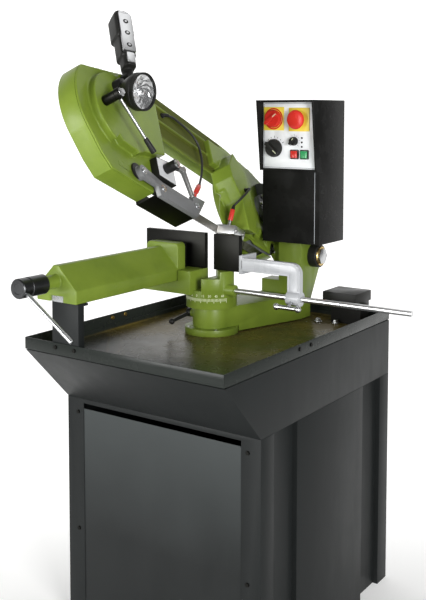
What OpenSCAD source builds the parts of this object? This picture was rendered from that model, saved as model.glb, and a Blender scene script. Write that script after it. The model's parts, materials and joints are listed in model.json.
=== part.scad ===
// Pull-down metal band saw on a sheet-metal stand.
// Millimetres, Z up. The origin is on the floor under the middle of the cabinet.
// The operator stands at -Y. The bow is drawn raised, at the top of its travel.

/* [Stand] */
// Width of the cabinet and tray
stand_w = 578; // [560:1:640]
// Depth of the cabinet
stand_d = 662; // [650:1:720]
// Height of the tray's rim above the floor
stand_h = 760; // [700:5:800]
// How far the tray stands out in front of the cabinet
tray_overhang = 146; // [130:1:170]
// Height of the tray's rim band
rim_h = 29; // [22:1:34]
// Depth of the tray floor below the rim
tray_depth = 43; // [40:1:46]
// Height of the skirt between the rim and the cabinet
skirt_h = 150; // [130:1:170]
// Thickness of the stand's sheet metal
sheet = 2; // [1.5:0.5:3]
// Width of the front corner posts
post_w = 50; // [40:1:60]
// Width of the corner posts on the sides
side_post_w = 55; // [45:1:65]
// Width of the channels in the sides
channel_w = 104; // [80:1:120]
// Depth of the channels in the sides
channel_depth = 14; // [8:1:20]
// Height of the open slot above the front panel
panel_slot_h = 14; // [8:1:20]

/* [Base] */
// Place of the mitre axis across the stand
mitre_x = -60; // [-64:1:-56]
// Place of the mitre axis along the stand
mitre_y = -22; // [-26:1:-18]
// Diameter of the pedestal's flange
flange_d = 141; // [136:1:146]
// Thickness of the pedestal's flange
flange_t = 17; // [12:1:20]
// Diameter of the spindle that the arm swivels on
spindle_d = 60; // [50:1:66]
// Diameter of the swivel collar
collar_d = 100; // [92:1:106]
// Height of the swivel collar
collar_h = 54; // [48:1:60]
// Diameter of the graduated ring
ring_d = 134; // [128:1:138]
// Height of the graduated ring
ring_h = 47; // [40:1:52]
// Height of the table blocks above the ring
table_h = 51; // [48:1:56]
// Width of the blade slot in the table
slot_w = 28; // [24:1:32]
// Thickness of the fixed jaw plates
jaw_t = 15; // [10:1:16]
// Height of the fixed jaw plates
jaw_h = 94; // [80:1:95]

/* [Vise] */
// Width of the moving jaw's ram
ram_w = 126; // [110:1:128]
// Length of the ram behind the jaw face
ram_l = 420; // [400:1:440]
// Height of the ram to its ridge
ram_h = 87; // [75:1:90]
// Height of the ram's upright sides
ram_side_h = 32; // [25:1:40]
// Height of the jaw head
head_h = 99; // [92:1:104]
// Length of the jaw head
head_l = 34; // [28:1:40]
// Gap between the jaws as drawn
jaw_gap = 27; // [20:1:40]
// Diameter of the clamp hub
hub_d = 46; // [40:1:52]
// Length of the clamp hub
hub_l = 80; // [60:1:90]
// Length of the clamp lever from the hub's axis
clamp_lever_l = 182; // [140:1:190]
// Diameter of the clamp lever
clamp_lever_d = 10; // [8:1:12]

/* [Stop] */
// Diameter of the stop rod
rod_d = 14; // [12:1:16]
// Free length of the stop rod
rod_l = 485; // [400:5:500]
// Height of the stop arm
stop_arm_h = 33; // [26:1:36]
// Thickness of the stop arm
stop_arm_t = 14; // [12:1:18]

/* [Bow] */
// Height of the bow's pivot above the tray floor
pivot_rise = 175; // [172:1:178]
// Place of the bow's pivot behind the mitre axis
pivot_back = 322; // [318:1:326]
// Angle that the bow is raised by, from level
raise = 24; // [18:1:26]
// Angle that the wheel plane leans away from upright
lean = 28.5; // [27:0.5:30]
// Distance of the blade below the pivot
blade_drop = 33; // [31:1:35]
// Radius of the band wheels
wheel_r = 128; // [122:1:130]
// Width of the band wheels
wheel_w = 24; // [20:1:26]
// Distance of the idler wheel in front of the pivot
idler_s = 752; // [746:1:756]
// Distance of the drive wheel in front of the pivot
drive_s = 76; // [74:1:80]
// Clearance of the housing around the wheels
housing_gap = 20; // [19:1:21]
// Distance of the cover's outer face on the far side of the blade
cover_out = 32; // [30:1:34]
// Distance of the seam between cover and casting on the near side of the blade
seam_n = 16; // [15:1:17]
// Thickness of the casting's flange
flange_n = 5; // [4:0.5:6]
// Height of the casting's raised body above the flange
body_n = 20; // [17:1:22]
// How far the raised body is set in from the flange's edge
body_inset = 42; // [38:1:44]
// Wall of the casting
cast_wall = 9; // [7:1:11]
// Wall of the blade cover
cover_wall = 3; // [2:0.5:4]
// Distance of the front limb's inner edge from the pivot
front_limb_s = 588; // [580:1:594]
// Distance of the rear limb's inner edge from the pivot
rear_limb_s = 310; // [304:1:311]
// Height of the beam's lower edge above the blade
beam_v = 165; // [162:1:168]
// Height of the beam's upper edge above the blade
beam_top = 303; // [300:1:306]
// Thickness of the rear limb on the near side
limb_n = 78; // [60:1:80]
// Width of the blade
blade_w = 20; // [16:1:20]
// Thickness of the blade
blade_t = 0.9; // [0.6:0.1:1.1]

/* [Pivot] */
// Diameter of the pivot shaft
shaft_d = 36; // [30:1:40]
// Diameter of the bow's hub
bow_hub_d = 84; // [76:1:88]
// Diameter of the pivot cap
cap_d = 65; // [56:1:70]

/* [Controls] */
// Width of the control box
box_w = 180; // [176:1:190]
// Depth of the control box
box_d = 143; // [130:1:145]
// Height of the control box
box_h = 394; // [380:1:410]
// Height of the hooded upper part
hood_h = 194; // [190:1:200]
// How far the hood stands out at its top
hood_top = 38; // [34:1:44]
// How far the hood stands out at its bottom
hood_foot = 16; // [12:1:20]

/* [Clearances] */
// Radial clearance of running fits
run_fit = 0.05; // [0.02:0.01:0.1]
// Gap between parts that slide past each other
slide_gap = 0.4; // [0.3:0.1:0.6]

/* [Hidden] */
$fn = 64;

green = [0.42, 0.55, 0.17];
dark = [0.14, 0.14, 0.15];
steel = [0.72, 0.73, 0.75];

// Stand
front_y = -stand_d / 2;
back_y = stand_d / 2;
rim_y = front_y - tray_overhang;
floor_z = stand_h - tray_depth;
seam_z = stand_h - rim_h;
cabinet_h = seam_z - skirt_h;
seam_gap = 2;
deck_t = 3;
tray_wall = 2.5;
panel_t = 2;
panel_lap = 8;
panel_foot = 24;
open_w = stand_w - 2 * post_w - 6;
open_top = cabinet_h - 12;
screw_d = 11;
screw_h = 3;
channel_end = stand_d / 2 - side_post_w;
channel_start = channel_end - channel_w;
pump_x = stand_w / 2 - 99;
pump_y = back_y - 48;
pump_h = 66;

// Base
collar_z = floor_z + flange_t;
ring_z = collar_z + collar_h;
deck_z = ring_z + ring_h;
table_z = deck_z + table_h;
slot_left = mitre_x - slot_w / 2;
slot_right = mitre_x + slot_w / 2;
table_r = 69;
jaw_face_y = mitre_y - 11;
jaw_back_y = jaw_face_y + jaw_t;
left_jaw_w = 197;
right_jaw_w = 80;
block_front_y = mitre_y - 77;
left_block_w = 41;
mitre_cut = 18;
left_deck_w = 136;
arm_top_z = ring_z - slide_gap;
arm_foot_z = floor_z + 3;
column_y = mitre_y + 255;
column_foot_y = mitre_y + 310;
column_back_y = mitre_y + 372;
column_x0 = mitre_x - 2;
column_x1 = mitre_x + 126;
fork_x = mitre_x + 54;
fork_z = deck_z - 12;

// Vise
ram_foot_z = table_z - 29;
ram_face_y = jaw_face_y - jaw_gap;
ram_x1 = mitre_x - 58;
ram_x0 = ram_x1 - ram_w;
ram_back_y = ram_face_y - ram_l;
ridge_w = 16;
ram_wall = 10;
ram_x = (ram_x0 + ram_x1) / 2;
spindle_z = ram_foot_z + 49;
boss_l = 40;
boss_d = 32;
clamp_pin_d = 16;
hub_y = ram_back_y - boss_l - 1;
clamp_angle = 34;
jaw_plate_t = 8;
head_round = 12;
post_x0 = ram_x0 + 44;
post_x1 = ram_x1 + 1;
post_t = 3;
post_flange = 20;
rest_l = 34;
bar_w = 40;
bar_t = 14;

// Stop
rod_y = mitre_y - 18;
rod_z = deck_z + 3;
boss_x = mitre_x + 87;
rod_in = 22;
stop_x = boss_x + 16;
stop_arm_z = table_z + 7;
stop_end_x = boss_x + 195;
stop_plate_w = 70;
stop_plate_h = 48;
stop_clamp_d = 36;
tee_l = 60;
tee_d = 11;
tee_ball_d = 17;
tee_tilt = 24;
ball_edge = acos(tee_d / tee_ball_d);

// Bow
pivot_z = floor_z + pivot_rise;
pivot_y = mitre_y + pivot_back;
blade_r = wheel_r + 1.2;
wheel_v = blade_r;
housing_r = wheel_r + housing_gap;
housing_v = housing_r - 7.8;
shoulder_fall = 0.376;
flange_top = seam_n + flange_n;
near_n = flange_top + body_n;
foot_v = -30;
body_low_v = 92;
limb_foot_s = front_limb_s + 53;
corner_s = idler_s + 51;
top_v = beam_top;
pivot_v = blade_drop * cos(lean);
pivot_n = blade_drop * sin(lean);
cover_beam_v = beam_v + 30;
hub_x1 = fork_x - 3;
hub_l_x = 30;
limb_step = 30;
limb_foot = 14;
wheel_bore = 34;
axle_d = 25;
hub_face = 20;
gear_r = 44;
gear_n = 16;
spigot_d = 58;
stud_d = 10;
guide_back = 16;
bow_travel = 20;
mitre_limit = 45;
guide_out = 62;
motor_d = 110;
motor_l = 128;
motor_s = -88;
motor_v = 182;
motor_n = 46;
arm_n = flange_top + 6;
arm_t = 12;
guard_gap = 2.5;
guard_t = 2.5;

// Guide arm and guard, along the bow and away from the blade
guide_end_s = 424;
guide_wide_s = guide_end_s + 42;
arm_head_s = 700;
neck_s = arm_head_s - 60;
arm_low_v = -44;
arm_top_v = -2;
guard_end_s = neck_s - 4;

// Hose routes in bow coordinates: along the bow, away from the blade, to the near side
front_hose_d = 6;
tap_n = arm_n + 6;
tap_foot = [guide_end_s + 44, 16];
tap_neck = [guide_end_s + 28, 42];
tap_top = [guide_end_s + 6, 69];
front_route = [[531, 250, flange_top + 0.1], [531, 250, 28], [520, 250, 34], [503, 248, 39], [482, 242,
  42], [458, 234, 45],
  [432, 222, 47], [412, 204, 47], [402, 180, 45], [400, 150, 42], [406, 118, 38], [414, 96, 35], [422,
    79, tap_n],
  [429.9, 69.2, tap_n]];
rear_route = [[247, 108, limb_n + 0.1], [247, 108, 88], [256, 102, 94], [268, 90, 93], [280, 76, 86],
  [291, 62, 74],
  [300, 48.4, 58.2], [300, 39.6, 53.4]];

// Controls
box_x0 = mitre_x + 20;
box_y = mitre_y + 222;
box_z = pivot_z + 45;
hood_z = box_z + box_h - hood_h;
box_wall = 3;
panel_margin = 6;
panel_y = box_y - 6;
plate_t = 1.5;
face_y = panel_y - plate_t;
spindle_end_y = box_y + box_wall + 6;
button_travel = 3;

// Frames and helpers
module in_swing() {
  translate([mitre_x, pivot_y, pivot_z]) rotate([-raise, 0, 0]) children();
}

module in_bow() {
  in_swing() translate([0, 0, -blade_drop]) rotate([0, -lean, 0]) children();
}

// Extrudes an outline, drawn along the bow and away from the blade, between two depths
module plate(n0, n1) {
  translate([n1, 0, 0]) rotate([90, 0, -90]) linear_extrude(n1 - n0) children();
}

// Cylinder across the bow's plane at a place along it
module bow_pin(s, v, n0, n1, d) {
  translate([n0, -s, v]) rotate([0, 90, 0]) cylinder(h = n1 - n0, d = d);
}

module bar_y(x, z, y0, y1, d) {
  translate([x, y0, z]) rotate([-90, 0, 0]) cylinder(h = y1 - y0, d = d);
}

module bar_x(y, z, x0, x1, d) {
  translate([x0, y, z]) rotate([0, 90, 0]) cylinder(h = x1 - x0, d = d);
}

module box(low, high) {
  translate(low) cube(high - low);
}

function arc(cx, cy, r, a0, a1, n = 8) =
  [for (i = [0:n]) [cx + r * cos(a0 + (a1 - a0) * i / n), cy + r * sin(a0 + (a1 - a0) * i / n)]];

function unit(v) = v / norm(v);

// One closed tube swept along points, with square ends
module tube(points, d, sides = 8) {
  n = len(points);
  along = [for (i = [0:n - 1]) unit(points[min(i + 1, n - 1)] - points[max(i - 1, 0)])];
  ref = [0.31, 0.2, 0.93];
  across = [for (t = along) unit(cross(t, ref))];
  rings = [for (i = [0:n - 1]) for (k = [0:sides - 1])
    points[i] + d / 2 * (cos(360 * k / sides) * across[i] + sin(360 * k / sides) * cross(along[i],
      across[i]))];
  walls = [for (i = [0:n - 2]) for (k = [0:sides - 1]) let (a = i * sides + k, b = i * sides + (k + 1)
    % sides)
    each [[a, b + sides, b], [a, a + sides, b + sides]]];
  caps = [for (k = [1:sides - 2]) each [[0, k, k + 1],
    [(n - 1) * sides, (n - 1) * sides + k + 1, (n - 1) * sides + k]]];
  polyhedron(rings, concat(walls, caps));
}

// Stand
module cabinet_plan(in) {
  w = stand_w / 2 - in;
  d = stand_d / 2 - in;
  c0 = channel_start - in;
  c1 = channel_end + in;
  x = w - channel_depth;
  right = [[w, -d], [w, -c1], [x, -c1], [x, -c0], [w, -c0], [w, c0], [x, c0], [x, c1], [w, c1], [w, d]];
  polygon(concat(right, [for (p = right) [-p[0], -p[1]]]));
}

module cabinet() {
  color(dark) difference() {
    linear_extrude(cabinet_h) cabinet_plan(0);
    translate([0, 0, sheet]) linear_extrude(cabinet_h - 2 * sheet) cabinet_plan(sheet);
    box([-open_w / 2, front_y - 1, panel_foot], [open_w / 2, front_y + sheet + 1, open_top]);
  }
}

module front_panel() {
  color(dark) box([-open_w / 2 - panel_lap, front_y + sheet, panel_foot - panel_lap],
    [open_w / 2 + panel_lap, front_y + sheet + panel_t, open_top - panel_slot_h]);
}

module screw_y(x, y, z) {
  bar_y(x, z, y - screw_h, y, screw_d);
}

module cabinet_screws() {
  x = stand_w / 2 - post_w / 2 - 10;
  color(steel) for (sx = [-1, 1]) for (z = [cabinet_h - 36, cabinet_h - 338]) screw_y(sx * x, front_y, z);
}

module across_stand(w) {
  translate([-w / 2, 0, 0]) rotate([90, 0, 90]) linear_extrude(w) children();
}

module skirt_side(in, z0, z1) {
  slope = tray_overhang / skirt_h;
  y0 = front_y - (z0 - cabinet_h) * slope + in * 1.4;
  y1 = front_y - (z1 - cabinet_h) * slope + in * 1.4;
  polygon([[y0, z0], [back_y - in, z0], [back_y - in, z1], [y1, z1]]);
}

module tray_skirt() {
  top = seam_z - seam_gap;
  deck = floor_z - sheet - deck_t;
  color(dark) difference() {
    across_stand(stand_w) skirt_side(0, cabinet_h, top);
    across_stand(stand_w - 2 * sheet) skirt_side(sheet, cabinet_h + sheet, deck);
    across_stand(stand_w - 2 * sheet) skirt_side(sheet, deck + deck_t, top + 1);
  }
}

module chip_tray() {
  in = sheet + 0.5;
  foot = floor_z - sheet;
  pan_y = rim_y + 1.5 * (seam_z - foot);
  color(dark) difference() {
    union() {
      box([-stand_w / 2, rim_y, seam_z], [stand_w / 2, back_y, stand_h]);
      box([-stand_w / 2 + in, pan_y, foot], [stand_w / 2 - in, back_y - in, seam_z + 1]);
    }
    box([-stand_w / 2 + tray_wall, rim_y + tray_wall, seam_z + sheet],
      [stand_w / 2 - tray_wall, back_y - tray_wall, stand_h + 1]);
    box([-stand_w / 2 + in + sheet, pan_y + sheet, floor_z],
      [stand_w / 2 - in - sheet, back_y - in - sheet, stand_h + 1]);
  }
}

module rim_screws() {
  z = stand_h - 11;
  side_y = [rim_y + 313, rim_y + 367];
  color(steel) {
    for (x = [post_x0 + 12, post_x1 - 12]) screw_y(x, rim_y, z);
    for (y = side_y) bar_x(y, z, stand_w / 2, stand_w / 2 + screw_h, screw_d);
    for (y = side_y) bar_x(y, z, -stand_w / 2 - screw_h, -stand_w / 2, screw_d);
  }
}

module vise_post() {
  y0 = rim_y + tray_wall;
  z0 = seam_z + sheet;
  z1 = ram_foot_z - slide_gap;
  color(dark) {
    box([post_x0, y0, z0], [post_x1, y0 + post_t, z1]);
    for (x = [post_x0, post_x1 - post_t]) box([x, y0, z0], [x + post_t, y0 + post_flange, z1]);
    box([post_x0, y0, z1 - 6], [post_x1, y0 + rest_l, z1]);
  }
}

module guide_bar() {
  z0 = ram_foot_z - slide_gap;
  color(steel) box([ram_x - bar_w / 2, rim_y + tray_wall, z0], [ram_x + bar_w / 2, ram_face_y - 2,
    z0 + bar_t]);
}

// Base
module pedestal() {
  bolt_r = flange_d / 2 - 9;
  color(green) translate([mitre_x, mitre_y, floor_z]) {
    difference() {
      cylinder(h = flange_t, d = flange_d);
      for (a = [45, 225, 315]) translate([bolt_r * cos(a), bolt_r * sin(a), flange_t - 6])
        cylinder(h = 7, d = 12);
    }
    cylinder(h = flange_t + collar_h, d = spindle_d);
  }
}

module slot_cut() {
  reach = 200;
  translate([0, 0, table_z - mitre_cut]) linear_extrude(mitre_cut + 1)
    polygon([[slot_left, -reach], [slot_right + reach + mitre_y, -reach], [slot_right, mitre_y],
      [slot_right, reach], [slot_left, reach]]);
  box([slot_left, -reach, deck_z], [slot_right, reach, table_z + 1]);
}

module saw_table() {
  shelf_z = ram_foot_z - slide_gap;
  back = jaw_back_y;
  color(green) difference() {
    union() {
      translate([mitre_x, mitre_y, ring_z]) cylinder(h = ring_h, d = ring_d);
      translate([mitre_x, mitre_y, deck_z]) cylinder(h = table_h, r = table_r);
      box([slot_left - left_block_w, block_front_y, deck_z - 10], [slot_left, mitre_y, table_z]);
      box([slot_left - left_deck_w, ram_face_y + 4, deck_z - 10], [slot_left, back, table_z]);
      box([ram_x0 + 4, block_front_y, deck_z - 10], [slot_left, back, shelf_z]);
      bar_x(rod_y, rod_z, mitre_x + 30, boss_x, 30);
    }
    slot_cut();
    box([mitre_x - 300, jaw_back_y, deck_z], [mitre_x + 300, mitre_y + 200, table_z + 1]);
    bar_x(rod_y, rod_z, boss_x - rod_in, boss_x + 1, rod_d);
  }
}

module fixed_jaw() {
  color(dark) {
    box([slot_left - left_jaw_w, jaw_face_y, table_z], [slot_left, jaw_back_y, table_z + jaw_h]);
    box([slot_right, jaw_face_y, table_z], [slot_right + right_jaw_w, jaw_back_y, table_z + jaw_h]);
  }
}

module stop_rod() {
  color(steel) bar_x(rod_y, rod_z, boss_x - rod_in, boss_x + rod_l, rod_d);
}

module coolant_pump() {
  color(dark) {
    box([pump_x - 45, pump_y - 20, floor_z], [pump_x + 45, pump_y + 33, floor_z + pump_h]);
    box([pump_x - 50, pump_y - 60, floor_z + pump_h - 2], [pump_x + 50, pump_y + 35, floor_z + pump_h + 26]);
  }
}

module pump_fitting() {
  color("goldenrod") {
    bar_x(pump_y, floor_z + pump_h - 14, pump_x - 66, pump_x - 45, 16);
    bar_x(pump_y, floor_z + pump_h - 14, pump_x - 76, pump_x - 66, 11);
  }
}

module swivel_arm() {
  half = collar_d / 2;
  color(green) difference() {
    union() {
      translate([mitre_x, mitre_y, collar_z + slide_gap]) cylinder(h = collar_h - 2 * slide_gap,
        d = collar_d);
      difference() {
        translate([0, 0, arm_foot_z]) linear_extrude(arm_top_z - arm_foot_z)
          polygon([[mitre_x - half, mitre_y], [mitre_x + half, mitre_y], [column_x1, column_y],
            [column_x1, column_foot_y], [column_x0, column_foot_y], [column_x0, column_y]]);
        translate([mitre_x, mitre_y, 0]) cylinder(h = collar_z + slide_gap, d = flange_d + 3);
      }
      box([column_x0, column_y, arm_foot_z], [column_x1, column_foot_y, fork_z]);
      translate([fork_x, 0, 0]) rotate([90, 0, 90]) linear_extrude(column_x1 - fork_x)
        polygon([[column_y, arm_foot_z], [column_foot_y, arm_foot_z], [column_foot_y, stand_h + 6],
          [column_back_y, pivot_z - 20], [column_back_y, box_z], [column_y, box_z]]);
      bar_x(lock_y, lock_z, lock_x - 2, lock_x + 12, 24);
      bar_x(lock_y, lock_z, lock_x - 20, lock_x + 12, stud_d);
    }
    translate([mitre_x, mitre_y, 0]) cylinder(h = stand_h * 2, d = spindle_d + 2 * run_fit);
    bar_x(pivot_y, pivot_z, fork_x - 1, column_x1 + 1, shaft_d);
  }
}

module pivot_shaft() {
  color(steel) bar_x(pivot_y, pivot_z, hub_x1 - hub_l_x, column_x1 + 34, shaft_d);
}

module pivot_cap() {
  color(dark) difference() {
    union() {
      bar_x(pivot_y, pivot_z, column_x1, column_x1 + 26, cap_d);
      bar_x(pivot_y, pivot_z, column_x1 + 26, column_x1 + 32, cap_d - 10);
    }
    bar_x(pivot_y, pivot_z, column_x1 - 1, column_x1 + 40, shaft_d);
  }
}

lock_x = mitre_x - collar_d / 2;
lock_y = mitre_y - 14;
lock_z = collar_z + 30;

module mitre_lever() {
  color(dark) difference() {
    union() {
      bar_x(lock_y, lock_z, lock_x - 16, lock_x - 2 - slide_gap, 24);
      translate([lock_x - 9, lock_y, lock_z]) rotate([104, 0, -14])
        rotate_extrude() polygon(concat([[0, 0], [5.5, 0]], arc(0, 66, 8, -56, 90)));
    }
    bar_x(lock_y, lock_z, lock_x - 20, lock_x, stud_d + 2 * run_fit);
  }
}

// Controls
module control_box() {
  x0 = box_x0;
  x1 = box_x0 + box_w;
  top = box_z + box_h;
  color([0.07, 0.07, 0.08]) difference() {
    union() {
      box([x0, box_y, box_z], [x1, box_y + box_d, top]);
      translate([x0, 0, 0]) rotate([90, 0, 90]) linear_extrude(box_w)
        polygon([[box_y, hood_z], [box_y, top], [box_y - hood_top, top], [box_y - hood_foot, hood_z]]);
    }
    box([x0 + panel_margin, box_y - hood_top - 1, hood_z + panel_margin],
      [x1 - panel_margin, panel_y, top - panel_margin]);
    box([x0 + panel_margin, box_y + box_wall, box_z + box_wall],
      [x1 - panel_margin, box_y + box_d - box_wall, top - panel_margin]);
    for (p = panel_holes) bar_y(box_x0 + p[0], hood_z + p[1], panel_y - 1, box_y + box_wall + 1, p[2]);
  }
}

// Holes in the panel: place across, height above the hood's foot, diameter
panel_holes = [[41, 143, 12], [121, 141, 24], [42, 62, 10], [105, 82, 8], [107, 46, 14], [138, 46, 14]];

module panel_plate() {
  color([0.86, 0.87, 0.9]) difference() {
    box([box_x0 + panel_margin, face_y, hood_z + panel_margin],
      [box_x0 + box_w - panel_margin, panel_y, box_z + box_h - panel_margin]);
    for (p = panel_holes) bar_y(box_x0 + p[0], hood_z + p[1], face_y - 1, panel_y + 1, p[2]);
  }
}

module switch_plates() {
  color("gold") for (i = [0, 1]) difference() {
    p = panel_holes[i];
    x = box_x0 + p[0];
    z = hood_z + p[1];
    box([x - 32, face_y - 3, z - 32], [x + 32, face_y, z + 32]);
    bar_y(x, z, face_y - 4, face_y + 1, p[2]);
  }
}

module indicators() {
  color(dark) for (k = [0:2]) bar_y(box_x0 + 129, hood_z + 67 + 12 * k, face_y - 1, face_y, 5);
}

// Round knob with a grip bar across its face and a spindle through the panel
module turn_knob(i, d, h, lift, bar) {
  p = panel_holes[i];
  x = box_x0 + p[0];
  z = hood_z + p[1];
  y = face_y - lift - slide_gap;
  bar_y(x, z, y - h, y, d);
  bar_y(x, z, y, spindle_end_y, p[2] - 2 * run_fit);
  translate([x, y - h, z]) rotate([0, bar, 0]) box([-d * 0.48, -7, -5], [d * 0.48, 0, 5]);
}

module main_switch() {
  color("red") turn_knob(0, 50, 12, 3, -38);
}

module emergency_stop() {
  p = panel_holes[1];
  x = box_x0 + p[0];
  z = hood_z + p[1];
  y = face_y - 3 - button_travel - slide_gap;
  color("red") {
    bar_y(x, z, y - 22, y - 12, 52);
    bar_y(x, z, y - 12, y, 34);
    bar_y(x, z, y, spindle_end_y, p[2] - 2 * run_fit);
  }
}

module selector_knob() {
  color(dark) turn_knob(2, 50, 14, 0, 40);
}

module speed_knob() {
  color(dark) turn_knob(3, 24, 12, 0, -50);
}

module push_button(i) {
  p = panel_holes[i];
  x = box_x0 + p[0];
  z = hood_z + p[1];
  y = face_y - button_travel - slide_gap;
  box([x - 10, y - 4, z - 10], [x + 10, y, z + 10]);
  bar_y(x, z, y, spindle_end_y, p[2] - 2 * run_fit);
}

module stop_button() {
  color("crimson") push_button(4);
}

module start_button() {
  color("seagreen") push_button(5);
}

// Vise
module ram_section() {
  foot = ram_foot_z;
  side = foot + ram_side_h;
  ridge = foot + ram_h;
  polygon([[ram_x0, foot], [ram_x1, foot], [ram_x1, side], [ram_x + ridge_w / 2, ridge],
    [ram_x - ridge_w / 2, ridge], [ram_x0, side]]);
}

// Space inside the ram, open below
module hollow_section() {
  foot = ram_foot_z - 1;
  side = ram_foot_z + ram_side_h - ram_wall / 2;
  ridge = ram_foot_z + ram_h - 1.5 * ram_wall;
  polygon([[ram_x0 + ram_wall, foot], [ram_x1 - ram_wall, foot], [ram_x1 - ram_wall, side], [ram_x + 6,
    ridge],
    [ram_x - 6, ridge], [ram_x0 + ram_wall, side]]);
}

module head_section() {
  z1 = ram_foot_z + head_h;
  r = head_round;
  polygon(concat([[ram_x0 + 22, ram_foot_z], [ram_x1, ram_foot_z]], arc(ram_x1 - r, z1 - r, r, 0, 90),
    arc(ram_x0 + 22 + r, z1 - r, r, 90, 180)));
}

module vise_ram() {
  color(green) difference() {
    union() {
      translate([0, ram_face_y, 0]) rotate([90, 0, 0]) linear_extrude(ram_l) ram_section();
      translate([0, ram_face_y, 0]) rotate([90, 0, 0]) linear_extrude(head_l) head_section();
      bar_y(ram_x, spindle_z, ram_back_y - boss_l, ram_back_y + 1, boss_d);
    }
    bar_y(ram_x, spindle_z, ram_back_y - boss_l - 1, ram_back_y + 40, clamp_pin_d + 2 * run_fit);
    box([ram_x - bar_w / 2 - slide_gap, ram_back_y - 1, ram_foot_z - 1],
      [ram_x + bar_w / 2 + slide_gap, ram_face_y + 1, ram_foot_z + bar_t + slide_gap]);
    translate([0, ram_face_y - head_l - ram_wall, 0]) rotate([90, 0, 0])
      linear_extrude(ram_l - head_l - 60) hollow_section();
  }
}

module jaw_plate() {
  color(dark) box([ram_x0 + 10, ram_face_y, table_z + 3], [ram_x1, ram_face_y + jaw_plate_t,
    ram_foot_z + head_h - 4]);
}

module clamp_lever_rod(d) {
  translate([ram_x, hub_y - hub_l + 13, spindle_z]) rotate([0, 90 + clamp_angle, 0])
    translate([0, 0, 8]) cylinder(h = clamp_lever_l - 8, d = d);
}

module clamp_hub() {
  color(dark) difference() {
    union() {
      bar_y(ram_x, spindle_z, hub_y - hub_l, hub_y, hub_d);
      bar_y(ram_x, spindle_z, hub_y - 0.1, ram_back_y + 38, clamp_pin_d);
    }
    clamp_lever_rod(clamp_lever_d);
  }
}

module clamp_lever() {
  color(steel) clamp_lever_rod(clamp_lever_d);
}

// Stop
module stop_bracket() {
  y0 = rod_y - stop_arm_t / 2;
  top = stop_arm_z + stop_arm_h;
  bend = 26;
  color([0.8, 0.81, 0.83]) difference() {
    union() {
      box([stop_x, y0, stop_arm_z - 9], [stop_x + 8, y0 + stop_plate_w, stop_arm_z - 9 + stop_plate_h]);
      translate([0, y0 + stop_arm_t, 0]) rotate([90, 0, 0]) linear_extrude(stop_arm_t)
        polygon(concat([[stop_x, stop_arm_z], [stop_end_x - stop_clamp_d, stop_arm_z],
          [stop_end_x - stop_clamp_d, rod_z], [stop_end_x, rod_z]],
          arc(stop_end_x - bend, top - bend, bend, 0, 90), [[stop_x, top]]));
      bar_x(rod_y, rod_z, stop_end_x - stop_clamp_d, stop_end_x, stop_clamp_d);
    }
    bar_x(rod_y, rod_z, stop_x, stop_end_x + 1, rod_d + 2 * run_fit);
    stop_front() translate([stop_end_x - stop_clamp_d / 2, 0, -stop_clamp_d]) cylinder(h = stop_clamp_d,
      d = 8);
  }
}

// Turns what points down from the rod's axis towards the operator
module stop_front() {
  translate([0, rod_y, rod_z]) rotate([tee_tilt - 90, 0, 0]) children();
}

module stop_screw() {
  x = stop_end_x - stop_clamp_d / 2;
  z0 = -stop_clamp_d / 2 - 24;
  color(steel) stop_front() {
    translate([x, 0, z0]) cylinder(h = -z0 - rod_d / 2 - slide_gap, d = 8 - 2 * run_fit);
    translate([x, 0, z0]) rotate([0, 90, 0]) rotate_extrude()
      polygon(concat(arc(0, -tee_l / 2, tee_ball_d / 2, -90, ball_edge), arc(0, tee_l / 2,
        tee_ball_d / 2, -ball_edge, 90)));
  }
}

// Bow
module bow_outline(in, edge = beam_v) {
  r = housing_r - in;
  difference() {
    union() {
      for (s = [idler_s, drive_s]) translate([s, housing_v]) circle(r, $fn = 128);
      polygon([[limb_foot_s + in, foot_v + in], [corner_s - in * 0.6, foot_v + in],
        [corner_s + 33 - in * 0.9, 2 + in * 0.4],
        [idler_s + r * cos(34), housing_v - r * sin(34)], [idler_s, housing_v + r / 2],
        [front_limb_s + in, edge + 40],
        [front_limb_s + in, body_low_v + in * 0.3]]);
      polygon([[drive_s, edge + in * 0.4], [idler_s, edge + in * 0.4], [idler_s, housing_v + r],
        [idler_s - 100, top_v - in],
        [drive_s + 130, top_v - in], [drive_s, housing_v + r]]);
    }
    shoulder(in);
  }
}

// Everything above the straight shoulder that slopes down towards the idler's end of the bow
module shoulder(in) {
  low = housing_v + housing_r * 0.627 - in * 1.068;
  translate([idler_s + housing_r * 0.777, low]) polygon([[-400, 400 * shoulder_fall],
    [200, -200 * shoulder_fall], [200, 500], [-400, 500]]);
}

// Flange of the casting, with its rear limb and the lug at the pivot
module casting_outline(in) {
  bow_outline(in);
  polygon([[drive_s, housing_v + 30], [rear_limb_s - in * 0.2, housing_v + 30], [rear_limb_s - in * 0.2,
    12 + in * 0.2],
    [drive_s + 60, 12 + in * 0.2]]);
  translate([0, pivot_v]) circle(bow_hub_d / 2 + 6);
}

// Raised body of the casting: a plateau round the idler with a notch below, and another round the drive
module body_outline(in) {
  r = housing_r - body_inset - in;
  difference() {
    union() {
      translate([idler_s, housing_v]) circle(r, $fn = 128);
      polygon([[idler_s, housing_v + r], [front_limb_s + in, housing_v + r], [front_limb_s + in,
        body_low_v + in],
        [idler_s, housing_v - r]]);
    }
    translate([idler_s, 0]) polygon([[-62, 0], [-36, 47 + in], [15, 50 + in], [29, 64 + in], [64, 20],
      [64, 0]]);
  }
  intersection() {
    casting_outline(body_inset + in);
    polygon([[-500, -500], [rear_limb_s - limb_step - in, -500], [rear_limb_s - limb_step - in, 70],
      [rear_limb_s + 20 - in, 150], [rear_limb_s + 20 - in, 500], [-500, 500]]);
  }
}

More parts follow.
